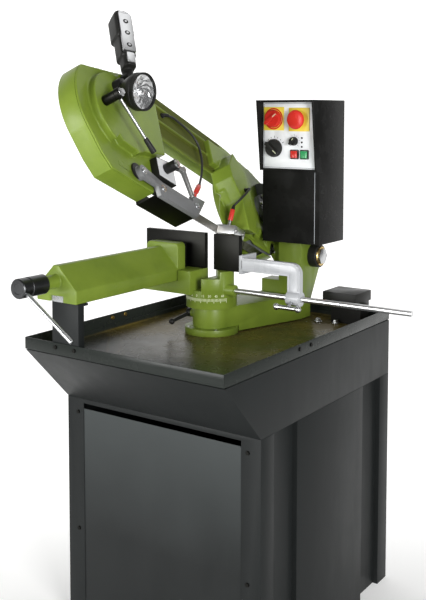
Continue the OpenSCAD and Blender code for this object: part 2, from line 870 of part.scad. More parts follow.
// Ribs along the flat web of the beam
module casting_ribs() {
  for (v = [beam_v + 48, beam_v + 96]) plate(flange_top - 1, flange_top + 7)
    polygon([[rear_limb_s + 10, v], [front_limb_s + 4, v], [front_limb_s + 4, v + 8],
      [rear_limb_s + 10, v + 8]]);
}

// Outline of the guide's bracket, which the casting's flange carries
module bracket_outline(out) {
  polygon([[clamp_s - 38, clamp_v - 32], [clamp_s + 36 + out, clamp_v - 32], [clamp_s + 36 + out,
    clamp_v + 22],
    [clamp_s - 38, clamp_v + 34]]);
}

// Thick rear limb, cut off level above the rear guide
module rear_limb() {
  low = -35;
  difference() {
    plate(flange_top - 1, limb_n) polygon([[rear_limb_s - limb_step, low], [rear_limb_s - limb_step, 70],
      [rear_limb_s, 130], [rear_limb_s, beam_v + 3], [rear_limb_s - 40, beam_v + 57],
        [rear_limb_s - 92, beam_v + 13],
      [rear_limb_s - 92, 30], [rear_limb_s - 70, low]]);
    rotate([0, lean, 0]) box([-200, -rear_limb_s - 5, -150], [200, -rear_limb_s + 95, limb_foot]);
  }
}

// Space that the left jaw plate takes beside the bow, with the mitre at its limit and the bow down
module jaw_clearance() {
  translate([mitre_x, pivot_y, pivot_z]) rotate([-bow_travel, 0, 0]) translate([0, -pivot_back, -pivot_z])
    rotate([0, 0, -mitre_limit]) translate([-mitre_x, -mitre_y, 0])
      box([slot_left - left_jaw_w, jaw_face_y - 120, table_z], [slot_left + 1, jaw_back_y + 1.2,
        table_z + jaw_h + 1.2]);
}

module bow_casting() {
  color(green) difference() {
    in_bow() casting_body();
    jaw_clearance();
  }
}

module casting_body() {
  difference() {
    union() {
      plate(seam_n, flange_top) casting_outline(0);
      plate(flange_top - 1, near_n) body_outline(0);
      plate(seam_n, flange_top) bracket_outline(24);
      bow_pin(grip_s, grip_v, flange_top - 1, near_n, 46);
      rear_limb();
      plate(seam_n, near_n) polygon([[-30, pivot_v - 8], [-30, pivot_v + 30], [40, 120], [drive_s,
        120], [drive_s, 30],
        [50, 0]]);
      casting_ribs();
      hub_solid(hub_x1 - hub_l_x, hub_x1, bow_hub_d);
      bow_pin(lever_s, lever_v, near_n - 4, lever_n + 12, stud_d);
    }
    plate(seam_n - 1, near_n - cast_wall) difference() {
      intersection() {
        body_outline(cast_wall);
        bow_outline(cover_wall + 6, cover_beam_v);
      }
      translate([idler_s, wheel_v]) circle(d = 60);
    }
    difference() {
      hub_solid(box_x0 - 7, box_x0 + 300, 370);
      hub_solid(box_x0 - 8, hub_x1, bow_hub_d);
    }
    hub_solid(hub_x1, hub_x1 + 300, 3 * bow_hub_d);
    hub_solid(hub_x1 - hub_l_x - 90, hub_x1 + 1, shaft_d + 2 * run_fit);
    bow_pin(idler_s, wheel_v, seam_n - 1, near_n - 5, axle_d);
    bow_pin(drive_s, wheel_v, seam_n - 1, near_n + 1, spigot_d);
    plate(seam_n - 1, flange_top + 1) polygon([[arm_head_s - guide_back - 6, -8],
      [arm_head_s + guide_out + 6, -8],
      [arm_head_s + guide_out + 6, 4], [arm_head_s - guide_back - 6, 4]]);
  }
}

// Cylinder along the pivot's axis, drawn inside the bow's own frame
module hub_solid(x0, x1, d) {
  rotate([0, lean, 0]) translate([x0 - mitre_x, 0, blade_drop]) rotate([0, 90, 0])
    cylinder(h = x1 - x0, d = d);
}

module blade_cover() {
  color(green) in_bow() difference() {
    plate(-cover_out, seam_n) bow_outline(0, cover_beam_v);
    plate(cover_wall - cover_out, seam_n + 1) bow_outline(cover_wall, cover_beam_v + 2);
    hub_solid(-300, 300, bow_hub_d + 6);
    for (s = [drive_s + 10, front_limb_s - 20]) translate([-seam_n, -s - 105, -14]) cube([2 * seam_n,
      105, 30]);
  }
}

module cover_screws() {
  color(steel) in_bow() for (p = [[idler_s + 100, housing_v + 60], [idler_s - 70, housing_v + 110],
      [drive_s - 60, housing_v + 100], [drive_s + 110, housing_v + 70]])
    bow_pin(p[0], p[1], -cover_out - screw_h, -cover_out, 16);
}

module band_wheel() {
  rim = 12;
  difference() {
    union() {
      difference() {
        translate([-wheel_w / 2, 0, 0]) rotate([0, 90, 0]) cylinder(h = wheel_w, r = wheel_r, $fn = 128);
        for (x = [-wheel_w, 5]) translate([x, 0, 0]) rotate([0, 90, 0]) cylinder(h = wheel_w - 5,
          r = wheel_r - rim);
      }
      translate([-wheel_w / 2, 0, 0]) rotate([0, 90, 0]) cylinder(h = wheel_w, d = 62);
    }
    for (a = [0:72:288]) rotate([a, 0, 0]) translate([-wheel_w, 0, wheel_r * 0.56]) rotate([0, 90, 0])
      cylinder(h = 2 * wheel_w, d = 46);
    translate([-wheel_w, 0, 0]) rotate([0, 90, 0]) cylinder(h = 2 * wheel_w, d = axle_d + 2 * run_fit);
  }
}

module idler_wheel() {
  color("gray") in_bow() translate([0, -idler_s, wheel_v]) band_wheel();
}

module idler_axle() {
  color(steel) in_bow() {
    bow_pin(idler_s, wheel_v, -wheel_w / 2 - 6, near_n - 5, axle_d);
    bow_pin(idler_s, wheel_v, -wheel_w / 2 - 6, -wheel_w / 2 - slide_gap, 40);
  }
}

// The drive wheel and its shaft turn as one piece
module drive_wheel() {
  color("gray") in_bow() {
    translate([0, -drive_s, wheel_v]) band_wheel();
    bow_pin(drive_s, wheel_v, -wheel_w / 2 - 5, near_n + 4, axle_d + 2 * run_fit);
    bow_pin(drive_s, wheel_v, -wheel_w / 2 - 5, wheel_w / 2, 40);
  }
}

module gearbox() {
  color([0.3, 0.32, 0.34]) in_bow() difference() {
    union() {
      bow_pin(drive_s, wheel_v, near_n, near_n + gear_n, gear_r * 2);
      difference() {
        translate([motor_n, -drive_s - 10, motor_v]) rotate([-90, 0, 0])
          cylinder(h = drive_s + 10 - motor_s, d = 60);
        plate(0, near_n) casting_outline(0);
      }
      bow_pin(drive_s, wheel_v, near_n - cast_wall, near_n + 1, spigot_d);
    }
    bow_pin(drive_s, wheel_v, seam_n, near_n + 6, axle_d + 4 * run_fit);
  }
}

module motor() {
  color([0.3, 0.32, 0.34]) in_bow() translate([motor_n, -motor_s, motor_v]) rotate([-90, 0, 0]) {
    cylinder(h = 12, d = motor_d);
    cylinder(h = motor_l, d = motor_d - 16);
    for (a = [0:20:340]) rotate([0, 0, a]) translate([motor_d / 2 - 14, -1.5, 6]) cube([12, 3,
      motor_l - 10]);
  }
}

module fan_cover() {
  color(dark) in_bow() translate([motor_n, -motor_s + motor_l, motor_v]) rotate([-90, 0, 0])
    difference() {
      cylinder(h = 36, d = motor_d);
      translate([0, 0, -1]) cylinder(h = 34, d = motor_d - 5);
      for (a = [0:30:330]) rotate([0, 0, a]) translate([14, -3, 30]) cube([30, 6, 10]);
    }
}

// Blade: lies flat on the wheels and twists upright between the guides
twist = 90 - lean;
blade_path = concat(
  [for (i = [0:24]) let (a = -90 + 180 * i / 24) [idler_s + blade_r * cos(a),
    wheel_v + blade_r * sin(a), 0]],
  [for (i = [0:24]) let (a = 90 + 180 * i / 24) [drive_s + blade_r * cos(a),
    wheel_v + blade_r * sin(a), 0]],
  [for (i = [1:6]) [drive_s + 18 * i, 0, twist * i / 6]],
  [for (i = [6:-1:1]) [idler_s - 26 * i, 0, twist * i / 6]]
);

function path_dir(i) = let (n = len(blade_path), a = blade_path[(i + n - 1) % n],
  b = blade_path[(i + 1) % n])
  unit([b[0] - a[0], b[1] - a[1]]);

module blade() {
  n = len(blade_path);
  points = [for (i = [0:n - 1]) let (p = blade_path[i], d = path_dir(i), side = [d[1], -d[0]])
    for (c = [[-1, -1], [1, -1], [1, 1], [-1, 1]])
      let (w = c[0] * blade_w / 2, t = c[1] * blade_t / 2,
        n0 = w * cos(p[2]) + t * sin(p[2]), m = -w * sin(p[2]) + t * cos(p[2]))
      [n0, -(p[0] + m * side[0]), p[1] + m * side[1]]];
  faces = [for (i = [0:n - 1]) for (k = [0:3]) let (a = 4 * i + k, b = 4 * i + (k + 1) % 4,
    c = 4 * ((i + 1) % n) + k, e = 4 * ((i + 1) % n) + (k + 1) % 4) each [[a, b, e], [a, e, c]]];
  color(steel) in_bow() polyhedron(points, faces);
}

// Grip, trigger, lamp and tension lever
grip_s = 723;
grip_v = 246;
grip_n = near_n + 14;
grip_tilt = 2;
grip_turn = -30;
grip_l = 206;
grip_foot = 36;
grip_w = 58;
grip_d = 48;
trigger_in = 12;
trigger_w = 33;
trigger_z0 = grip_foot + 30;
trigger_z1 = grip_l - 13;
trigger_pins = [trigger_z0 + 20, trigger_z1 - 20];
trigger_pin_d = 6;

module in_grip() {
  in_bow() translate([grip_n, -grip_s, grip_v]) rotate([-grip_tilt, 0, 0]) rotate([0, 0, grip_turn])
    children();
}

// Rounded section of the grip, extruded between two heights
module grip_part(z0, z1, less) {
  w = (grip_w - less) / 2;
  d = (grip_d - less) / 2;
  r = 12;
  translate([0, 0, z0]) linear_extrude(z1 - z0) polygon(concat(arc(w - r, d - r, r, 0, 90), arc(r - w,
    d - r, r, 90, 180),
    arc(r - w, r - d, r, 180, 270), arc(w - r, r - d, r, 270, 360)));
}

module trigger_pin_at(z, x0, l, d) {
  translate([x0, 0, z]) rotate([0, 90, 0]) cylinder(h = l, d = d);
}

module handle_grip() {
  x = grip_w / 2;
  color(dark) {
    in_bow() bow_pin(grip_s, grip_v, near_n, grip_n + 10, 34);
    in_grip() difference() {
      union() {
        cylinder(h = grip_foot + 1, d = 28);
        translate([8, 0, 0]) grip_part(grip_foot - 11, grip_foot + 24, 16);
        translate([4, 0, 0]) grip_part(grip_foot + 23, grip_foot + 90, 8);
        grip_part(grip_foot + 89, grip_l - 10, 0);
        grip_part(grip_l - 11, grip_l, 8);
      }
      box([x - trigger_in, -trigger_w / 2 - 1, trigger_z0], [x + 5, trigger_w / 2 + 1, trigger_z1]);
      for (z = trigger_pins) trigger_pin_at(z, x - 26, 16, trigger_pin_d + 2 * run_fit);
    }
  }
}

module trigger() {
  x = grip_w / 2;
  color(steel) in_grip() {
    box([x - 7, -trigger_w / 2, trigger_z0 + 2], [x + 2, trigger_w / 2, trigger_z1 - 2]);
    for (z = trigger_pins) trigger_pin_at(z, x - 21, 15, trigger_pin_d);
  }
}

lamp_s = 754;
lamp_h = 194;
lamp_x = 20;
lamp_d = 91;
lamp_l = 58;

module in_lamp() {
  in_swing() translate([lamp_x, -lamp_s, lamp_h - blade_drop]) rotate([0, -90, 0]) children();
}

module work_lamp() {
  color(dark) difference() {
    union() {
      in_lamp() {
        cylinder(h = 22, d = lamp_d);
        translate([0, 0, 22]) cylinder(h = lamp_l - 22, d1 = lamp_d, d2 = 58);
      }
      in_bow() bow_pin(lamp_s + 8, 204, near_n, near_n + 24, 40);
    }
    in_lamp() translate([0, 0, -60]) cylinder(h = 76, d = lamp_d - 8);
  }
}

module lamp_lens() {
  color([0.9, 0.92, 0.95]) in_lamp() translate([0, 0, 6]) cylinder(h = 8, d = lamp_d - 8);
}

lever_s = 825;
lever_v = 134;
lever_n = near_n + 38;
lever_angle = 133;
lever_l = 156;
lever_d = 8;

module in_lever() {
  in_bow() translate([lever_n, -lever_s, lever_v]) rotate([-lever_angle, 0, 0]) children();
}

module tension_lever() {
  color(steel) {
    in_bow() difference() {
      bow_pin(lever_s, lever_v, near_n + slide_gap, lever_n + 8, 22);
      bow_pin(lever_s, lever_v, near_n, lever_n + 9, stud_d + 2 * run_fit);
    }
    in_lever() translate([0, 0, 8]) cylinder(h = lever_l - 44, d = lever_d);
  }
}

module lever_grip() {
  color(dark) in_lever() translate([0, 0, lever_l - 36]) cylinder(h = 40, d1 = 12, d2 = 15);
}

// Guides
module arm_outline() {
  polygon([[guide_wide_s + 14, arm_low_v], [neck_s, arm_low_v], [neck_s + 6, -20], [arm_head_s, -18],
    [arm_head_s, 14],
    [neck_s, 1], [neck_s - 20, arm_top_v], [guide_wide_s + 22, arm_top_v], [guide_wide_s + 18, 18],
      [guide_end_s, 22]]);
}

module guide_arm() {
  color([0.5, 0.5, 0.52]) in_bow() {
    plate(arm_n, arm_n + arm_t) arm_outline();
    bow_pin(arm_head_s, -2, arm_n, arm_n + arm_t, 32);
    bow_pin(arm_head_s, -2, flange_top + slide_gap, arm_n, 36);
    bow_pin(arm_head_s, -2, seam_n - 3, arm_n, 12 - 2 * slide_gap);
    plate(seam_n - 3, seam_n - slide_gap) polygon([[arm_head_s - 12, -11], [arm_head_s + 12, -11],
      [arm_head_s + 12, 7], [arm_head_s - 12, 7]]);
    for (p = [[arm_head_s, -2], [neck_s - 16, -20], [guide_wide_s + 6, -10]])
      bow_pin(p[0], p[1], arm_n + arm_t, arm_n + arm_t + 4, 12);
  }
}

// Part of the guard that is flat in the bow's plane
module guard_plate(n0, n1, v0, v1) {
  plate(n0, n1) polygon([[guide_wide_s, v0], [guard_end_s, v0], [guard_end_s, v1], [guide_wide_s, v1]]);
}

module blade_guard() {
  n0 = -cover_out - guard_gap - guard_t;
  v0 = foot_v - guard_gap - guard_t;
  color([0.1, 0.1, 0.11]) in_bow() {
    guard_plate(n0, arm_n, v0, v0 + guard_t);
    guard_plate(n0, n0 + guard_t, v0, 10);
    guard_plate(arm_n - guard_t, arm_n, v0, arm_top_v);
  }
}

// Holder at the end of the guide arm, with a slit for the upright blade
module front_guide() {
  s0 = guide_end_s + 24;
  s1 = s0 + 38;
  color([0.6, 0.6, 0.62]) in_bow() difference() {
    plate(-14, arm_n - guard_t) polygon([[s0, -8], [s1, -8], [s1, 16], [s0, 16]]);
    rotate([0, lean, 0]) box([-1.2, -s1 - 10, -40], [1.2, -s0 + 10, blade_w / 2 + 1]);
  }
}

clamp_s = 600;
clamp_v = 44;
clamp_n = near_n;
clamp_bend = [clamp_s - 46, clamp_v + 8];
clamp_tip = [clamp_s - 70, clamp_v - 62];

module guide_bracket() {
  color(dark) in_bow() {
    plate(flange_top, clamp_n) bracket_outline(0);
    bow_pin(clamp_s, clamp_v, clamp_n - 4, clamp_n + 36, stud_d);
  }
}

// Straight round bar between two places in the bow's plane
module bow_bar(a, b, n, d0, d1, sides = 64) {
  turn = atan2(b[0] - a[0], b[1] - a[1]);
  translate([n, -a[0], a[1]]) rotate([turn, 0, 0]) cylinder(h = norm(b - a), d1 = d0, d2 = d1,
    $fn = sides);
}

module guide_clamp() {
  n = clamp_n + 20;
  color(dark) in_bow() difference() {
    union() {
      bow_pin(clamp_s, clamp_v, clamp_n + slide_gap, clamp_n + 32, 26);
      bow_bar([clamp_s, clamp_v], clamp_bend, n, 18, 14);
      bow_pin(clamp_bend[0], clamp_bend[1], n - 7, n + 7, 14);
      bow_bar(clamp_bend, clamp_tip, n, 14, 11);
    }
    bow_pin(clamp_s, clamp_v, clamp_n, clamp_n + 40, stud_d + 2 * run_fit);
  }
}

// Rear guide: a block under the limb, upright as the blade is there
rear_guide_s = 312;
rear_guide_l = 54;
rear_tap_x = 28;
rear_tap_s = 300;
tap_d = 14;
tap_stem_d = 8;

module rear_guide() {
  color([0.78, 0.79, 0.81]) in_swing() translate([0, 0, -blade_drop]) difference() {
    box([-4, -rear_guide_s, -10], [56, rear_guide_l - rear_guide_s, limb_foot]);
    box([-1.2, -rear_guide_s - 1, -20], [1.2, rear_guide_l - rear_guide_s + 1, blade_w / 2 + 1]);
  }
}

// Stem and hexagonal body of a tap, between two places in the bow's plane
module front_tap() {
  color("red") in_bow() difference() {
    union() {
      bow_bar(tap_foot, tap_neck, tap_n, tap_stem_d, tap_stem_d);
      bow_bar(tap_neck, tap_top, tap_n, tap_d, tap_d, 6);
    }
    plate(arm_n - 1, arm_n + arm_t + 1) arm_outline();
  }
}

module rear_tap() {
  color("red") in_swing() translate([rear_tap_x, -rear_tap_s, limb_foot - blade_drop]) {
    cylinder(h = 16, d = tap_stem_d);
    translate([0, 0, 15]) cylinder(h = 31, d = tap_d, $fn = 6);
  }
}

module hose(route, d) {
  in_bow() tube([for (p = route) [p[2], -p[0], p[1]]], d);
}

module front_hose() {
  color([0.05, 0.05, 0.05]) hose(front_route, front_hose_d);
}

module rear_hose() {
  color([0.05, 0.05, 0.05]) hose(rear_route, front_hose_d);
}

cabinet();
front_panel();
cabinet_screws();
tray_skirt();
chip_tray();
rim_screws();
vise_post();
guide_bar();
pedestal();
saw_table();
fixed_jaw();
stop_rod();
coolant_pump();
pump_fitting();
swivel_arm();
pivot_shaft();
pivot_cap();
control_box();
panel_plate();
switch_plates();
indicators();
mitre_lever();
main_switch();
emergency_stop();
selector_knob();
speed_knob();
stop_button();
start_button();
vise_ram();
jaw_plate();
clamp_hub();
clamp_lever();
stop_bracket();
stop_screw();
bow_casting();
blade_cover();
cover_screws();
gearbox();
motor();
fan_cover();
idler_axle();
idler_wheel();
drive_wheel();
blade();
handle_grip();
trigger();
work_lamp();
lamp_lens();
tension_lever();
lever_grip();
guide_bracket();
guide_arm();
blade_guard();
front_guide();
guide_clamp();
rear_guide();
front_tap();
rear_tap();
front_hose();
rear_hose();
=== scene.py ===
import json
import math

import bmesh
import bpy
from mathutils import Matrix, Vector


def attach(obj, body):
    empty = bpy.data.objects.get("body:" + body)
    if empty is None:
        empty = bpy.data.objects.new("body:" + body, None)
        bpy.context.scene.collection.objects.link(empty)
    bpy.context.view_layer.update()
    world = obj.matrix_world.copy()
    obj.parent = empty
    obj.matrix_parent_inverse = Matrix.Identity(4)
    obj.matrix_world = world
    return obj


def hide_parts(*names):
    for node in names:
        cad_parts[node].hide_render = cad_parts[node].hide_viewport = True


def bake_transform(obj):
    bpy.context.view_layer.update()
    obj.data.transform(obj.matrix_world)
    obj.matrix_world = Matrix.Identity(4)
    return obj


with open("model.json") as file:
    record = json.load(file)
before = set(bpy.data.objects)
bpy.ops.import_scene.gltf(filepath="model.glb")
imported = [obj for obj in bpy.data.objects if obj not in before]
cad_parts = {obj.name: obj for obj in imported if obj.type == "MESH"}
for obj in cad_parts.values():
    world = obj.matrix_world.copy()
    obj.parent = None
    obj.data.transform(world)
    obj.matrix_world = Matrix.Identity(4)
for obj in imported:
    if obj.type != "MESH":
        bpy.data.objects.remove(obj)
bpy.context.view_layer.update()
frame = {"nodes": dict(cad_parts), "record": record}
nodes = frame["nodes"]
body_of_node = {n: b for b, members in frame["record"]["behaviour"]["bodies"].items() for n in members}
scene = bpy.context.scene

# The bow's own frame: along the bow, away from the blade, towards the near side
RAISE, LEAN = math.radians(24), math.radians(28.5)
PIVOT = Vector((-0.060, 0.300, 0.892))
DROP = 0.033
SWING = Matrix.Translation(PIVOT) @ Matrix.Rotation(-RAISE, 4, "X")
BOW = SWING @ Matrix.Translation((0, 0, -DROP)) @ Matrix.Rotation(-LEAN, 4, "Y")


def on_bow(s, v, n):
    """A point given along the bow, away from the blade and towards the near side."""
    return BOW @ Vector((n, -s, v))


# Places that several pieces share: along the bow and away from the blade, or towards the near side
TENSION_STUD, CLAMP_STUD = (0.825, 0.134), (0.600, 0.044)
BOW_FACE, ARM_FACE, SLOT_FACE = 0.041, 0.039, 0.021
SPINDLE = Vector((-0.060, -0.022, 0))

# Camera at the photograph's viewpoint
camera = bpy.data.objects.new("camera", bpy.data.cameras.new("camera"))
scene.collection.objects.link(camera)
camera.location = (1.36216, -2.05536, 1.29809)
camera.rotation_euler = (math.radians(90 - 4.10), 0, math.radians(35.228))
camera.data.sensor_width = 36
camera.data.lens = 56.793
camera.data.shift_x = 0.0094
camera.data.shift_y = -0.2
scene.camera = camera


# Shader maths
class Value:
    """A node's socket that takes Python's arithmetic."""

    def __init__(self, owner, socket):
        self.owner, self.socket = owner, socket

    def math(self, operation, *values):
        return self.owner.node("ShaderNodeMath", {"operation": operation}, dict(enumerate(values)))

    def __add__(self, other):
        return self.math("ADD", self, other)

    def __radd__(self, other):
        return self.math("ADD", other, self)

    def __sub__(self, other):
        return self.math("SUBTRACT", self, other)

    def __rsub__(self, other):
        return self.math("SUBTRACT", other, self)

    def __mul__(self, other):
        return self.math("MULTIPLY", self, other)

    def __rmul__(self, other):
        return self.math("MULTIPLY", other, self)

    def __truediv__(self, other):
        return self.math("DIVIDE", self, other)

    def __pow__(self, other):
        return self.math("POWER", self, other)

    def __lt__(self, other):
        return self.math("LESS_THAN", self, other)


class Finish:
    """A procedural material with one shader and the nodes that feed it."""

    def __init__(self, name, **fixed):
        self.material = bpy.data.materials.new(name)
        self.material.use_nodes = True
        self.tree = self.material.node_tree
        self.shader = self.tree.nodes["Principled BSDF"]
        for key, value in fixed.items():
            self.shader.inputs[key.replace("_", " ")].default_value = value

    def feed(self, socket, value):
        if isinstance(value, Value):
            self.tree.links.new(value.socket, socket)
        else:
            socket.default_value = value

    def node(self, kind, settings=None, inputs=None, output=0):
        made = self.tree.nodes.new(kind)
        for key, value in (settings or {}).items():
            setattr(made, key, value)
        for key, value in (inputs or {}).items():
            self.feed(made.inputs[key], value)
        return Value(self, made.outputs[output])

    def place(self, scale=(1, 1, 1), turn=(0, 0, 0)):
        """The piece's own coordinates, stretched or turned."""
        at = self.node("ShaderNodeTexCoord", output="Object")
        return self.node("ShaderNodeMapping", None, {"Vector": at, "Scale": scale, "Rotation": turn})

    def along_bow(self, origin):
        """Coordinates in the bow's frame, from a point: to the near side, backwards, away from the blade."""
        at = self.node("ShaderNodeTexCoord", output="Object")
        return self.node("ShaderNodeMapping", {"vector_type": "TEXTURE"},
                         {"Vector": at, "Location": origin, "Rotation": BOW.to_euler()})

    def split(self, at):
        """The three values of a place."""
        return [self.node("ShaderNodeSeparateXYZ", None, {0: at}, k) for k in range(3)]

    def noise(self, scale, detail=3.0, at=None):
        return self.node("ShaderNodeTexNoise", None, {
            "Vector": at or self.place(), "Scale": scale, "Detail": detail, "Roughness": 0.55}, "Fac")

    def cells(self, scale):
        return self.node("ShaderNodeTexVoronoi", {"feature": "SMOOTH_F1"},
                         {"Vector": self.place(), "Scale": scale}, "Distance")

    def spread(self, value, low, high, to_low=0.0, to_high=1.0):
        """A value stretched from one range to another and held inside it."""
        return self.node("ShaderNodeMapRange", {"clamp": True}, {
            "Value": value, "From Min": low, "From Max": high, "To Min": to_low, "To Max": to_high})

    def blend(self, factor, one, two):
        made = self.tree.nodes.new("ShaderNodeMix")
        made.data_type = "RGBA"
        self.feed(made.inputs["Factor"], factor)
        for socket, colour in zip([s for s in made.inputs if s.type == "RGBA"], (one, two)):
            self.feed(socket, colour if isinstance(colour, Value) else (*colour, 1))
        return Value(self, [s for s in made.outputs if s.type == "RGBA"][0])

    def relief(self, height, strength, distance):
        self.set("Normal", self.node("ShaderNodeBump", None, {
            "Height": height, "Strength": strength, "Distance": distance}))

    def set(self, key, value):
        self.feed(self.shader.inputs[key], value)


def enamel(name, light, dark, grain=420, relief=0.0006, rough=(0.34, 0.48), coat=0.08):
    """Hammered casting paint: colour drifts slowly, the surface is finely pebbled."""
    f = Finish(name, Coat_Roughness=0.16, Specular_IOR_Level=0.3)
    drift = f.noise(9, 4)
    pebble = f.cells(grain)
    fine = f.noise(grain * 2.2, 2)
    f.set("Base Color", f.blend(f.spread(drift, 0.35, 0.68), dark, light))
    f.set("Roughness", f.spread(fine * 0.5 + drift * 0.5, 0.35, 0.65, *rough))
    f.set("Coat Weight", f.spread(drift, 0.3, 0.7, coat * 0.6, coat))
    f.relief(f.spread(pebble, 0.0, 0.9) * 0.8 + fine * 0.2, 0.35, relief)
    return f.material


def powder(name, colour, rough=(0.36, 0.5), grain=900, relief=0.00012, dust=0.35, shine=0.5, painted_light_above=None):
    """Smooth stoved paint on sheet metal with a little dust; painted light, if given, makes it paler upwards
    between two given heights.
    """
    f = Finish(name, Coat_Roughness=0.2, Specular_IOR_Level=shine)
    cloud = f.noise(5, 5)
    fine = f.noise(grain, 2)
    wiped = f.noise(26, 4, f.place((1, 1, 0.25)))
    pale = tuple(min(1, c * 1.5 + 0.006) for c in colour)
    base = f.blend(f.spread(cloud * 0.6 + wiped * 0.4, 0.4, 0.75, 0, dust), colour, pale)
    # Painted light: the colour turns paler upwards, standing in for light falling on the upper part.
    if painted_light_above:
        height = f.split(f.place())[2]
        base = f.blend(f.spread(height + cloud * 0.1, *painted_light_above), base, tuple(c * 4 for c in colour))
    f.set("Base Color", base)
    f.set("Roughness", f.spread(wiped * 0.5 + cloud * 0.5, 0.35, 0.7, *rough))
    f.relief(fine, 0.3, relief)
    return f.material


def bright_metal(name, colour, rough=(0.2, 0.36), along="x", fineness=900, relief=0.00006):
    """Machined or drawn metal with fine lines along one direction."""
    f = Finish(name, Metallic=1.0)
    stretch = {"x": (0.02, 1, 1), "y": (1, 0.02, 1), "z": (1, 1, 0.02), "any": (1, 1, 1)}[along]
    lines = f.noise(fineness, 3, f.place(stretch))
    smear = f.noise(18, 4)
    grey = tuple(c * 0.72 for c in colour)
    f.set("Base Color", f.blend(f.spread(smear * 0.6 + lines * 0.4, 0.35, 0.7), grey, colour))
    f.set("Roughness", f.spread(lines * 0.6 + smear * 0.4, 0.3, 0.7, *rough))
    f.relief(lines, 0.25, relief)
    return f.material


def moulding(name, colour, rough=(0.3, 0.45), grain=1400, relief=0.00008, shine=0.5):
    """Moulded plastic with a fine grain."""
    f = Finish(name, Specular_IOR_Level=shine)
    grainy = f.cells(grain)
    cloud = f.noise(14, 4)
    pale = tuple(min(1, c * 1.25 + 0.004) for c in colour)
    f.set("Base Color", f.blend(f.spread(cloud, 0.4, 0.7), colour, pale))
    f.set("Roughness", f.spread(cloud, 0.35, 0.65, *rough))
    f.relief(grainy, 0.3, relief)
    return f.material


def cast_green(name, light, dark, shadow):
    """Casting paint with painted shade on the bow's thin web, between its beam and limbs: the colour is darker
    there.
    """
    f = Finish(name, Coat_Roughness=0.16, Specular_IOR_Level=0.2)
    near, back, high = f.split(f.along_bow(BOW.to_translation()))
    # The web mask carries the painted shade: a darker colour on the thin web, standing in for the shade in its
    # recess.
    web = f.spread(near, 0.030, 0.025) * f.spread(high, 0.160, 0.178)
    web = web * f.spread(back, -0.625, -0.605) * f.spread(back, -0.215, -0.235)
    drift = f.noise(9, 4)
    pebble, fine = f.cells(420), f.noise(920, 2)
    base = f.blend(f.spread(drift, 0.35, 0.68), dark, light)
    f.set("Base Color", f.blend(web * 0.85, base, shadow))
    f.set("Roughness", f.spread(fine * 0.5 + drift * 0.5, 0.35, 0.65, 0.32, 0.46) + web * 0.4)
    f.set("Coat Weight", f.spread(drift, 0.3, 0.7, 0.04, 0.07) * (1 - web))
    f.relief(f.spread(pebble, 0.0, 0.9) * 0.8 + fine * 0.2, 0.35, 0.0006)
    return f.material


def oiled_tray(name, colour, reflected_brown):
    """Glossy tray paint with a painted brown reflection in patches round the pedestal."""
    f = Finish(name, Specular_IOR_Level=0.14)
    back, high = f.split(f.place())[1:]
    cloud, wiped = f.noise(4.5, 4), f.noise(24, 4)
    reflection_patches = f.spread(cloud * 0.8 + wiped * 0.2, 0.36, 0.6, 0, 0.75)
    # Painted reflection: brown patches on the tray's floor round the pedestal, standing in for reflections in
    # the glossy paint.
    painted_reflection = f.spread(back, -0.36, -0.12) * f.spread(high, 0.723, 0.720) * reflection_patches
    f.set("Base Color", f.blend(painted_reflection, colour, reflected_brown))
    f.set("Roughness", f.spread(wiped * 0.5 + cloud * 0.5, 0.35, 0.7, 0.2, 0.34))
    f.relief(wiped, 0.2, 0.0003)
    return f.material


def clamp_finish(name):
    """Black moulded hub of the guide's clamp, with a plain metal handle away from its axis."""
    f = Finish(name, Specular_IOR_Level=0.25)
    back, high = f.split(f.along_bow(on_bow(*CLAMP_STUD, 0)))[1:]
    handle = f.spread((back * back + high * high) ** 0.5, 0.020, 0.024)
    cloud = f.noise(30, 4)
    f.set("Base Color", f.blend(handle, f.blend(cloud, (0.010, 0.010, 0.010), (0.018, 0.018, 0.017)),
                                f.blend(cloud, (0.17, 0.17, 0.165), (0.30, 0.30, 0.29))))
    f.set("Metallic", handle * 0.7)
    f.set("Roughness", f.spread(cloud, 0.35, 0.65, 0.34, 0.48))
    f.relief(f.noise(700, 2), 0.2, 0.0001)
    return f.material


# The third colour is painted shade for the bow's thin web.
BOW_GREEN = cast_green("bow_enamel", (0.172, 0.240, 0.027), (0.126, 0.184, 0.020), (0.056, 0.060, 0.008))
GREEN = enamel("green_enamel", (0.172, 0.240, 0.027), (0.126, 0.184, 0.020))
BLACK = powder("stand_black", (0.0105, 0.012, 0.012), (0.42, 0.54), shine=0.15)
# The front panel's painted light makes it paler towards its top.
PANEL_BLACK = powder("panel_black", (0.0105, 0.012, 0.012), (0.4, 0.52), shine=0.22, painted_light_above=(0.30, 0.64))
# The second colour is the painted brown reflection on the tray's floor.
TRAY = oiled_tray("tray_black", (0.018, 0.021, 0.019), (0.150, 0.108, 0.022))
CAST_SILVER = powder("cast_silver", (0.37, 0.38, 0.395), (0.24, 0.36), grain=500, relief=0.0004, dust=0.25)
STEEL_X = bright_metal("steel_along_x", (0.92, 0.93, 0.93), (0.24, 0.38), along="x")
STEEL = bright_metal("steel", (0.66, 0.67, 0.68), along="any", fineness=500)
ZINC = bright_metal("zinc_screws", (0.62, 0.62, 0.60), (0.28, 0.42), "any", 700)
DARK_STEEL = bright_metal("blackened_steel", (0.024, 0.024, 0.022), (0.4, 0.55), "any", 600)
GUARD = powder("guard_grey", (0.135, 0.138, 0.14), (0.34, 0.48), dust=0.3)
BLADE = bright_metal("blade_steel", (0.30, 0.285, 0.26), (0.3, 0.45), "y", 700)
ROD_STEEL = bright_metal("rod_steel", (0.36, 0.365, 0.37), (0.22, 0.34), "any", 500)
ALUMINIUM = bright_metal("machined_aluminium", (0.90, 0.91, 0.92), (0.3, 0.45), "x", 700)
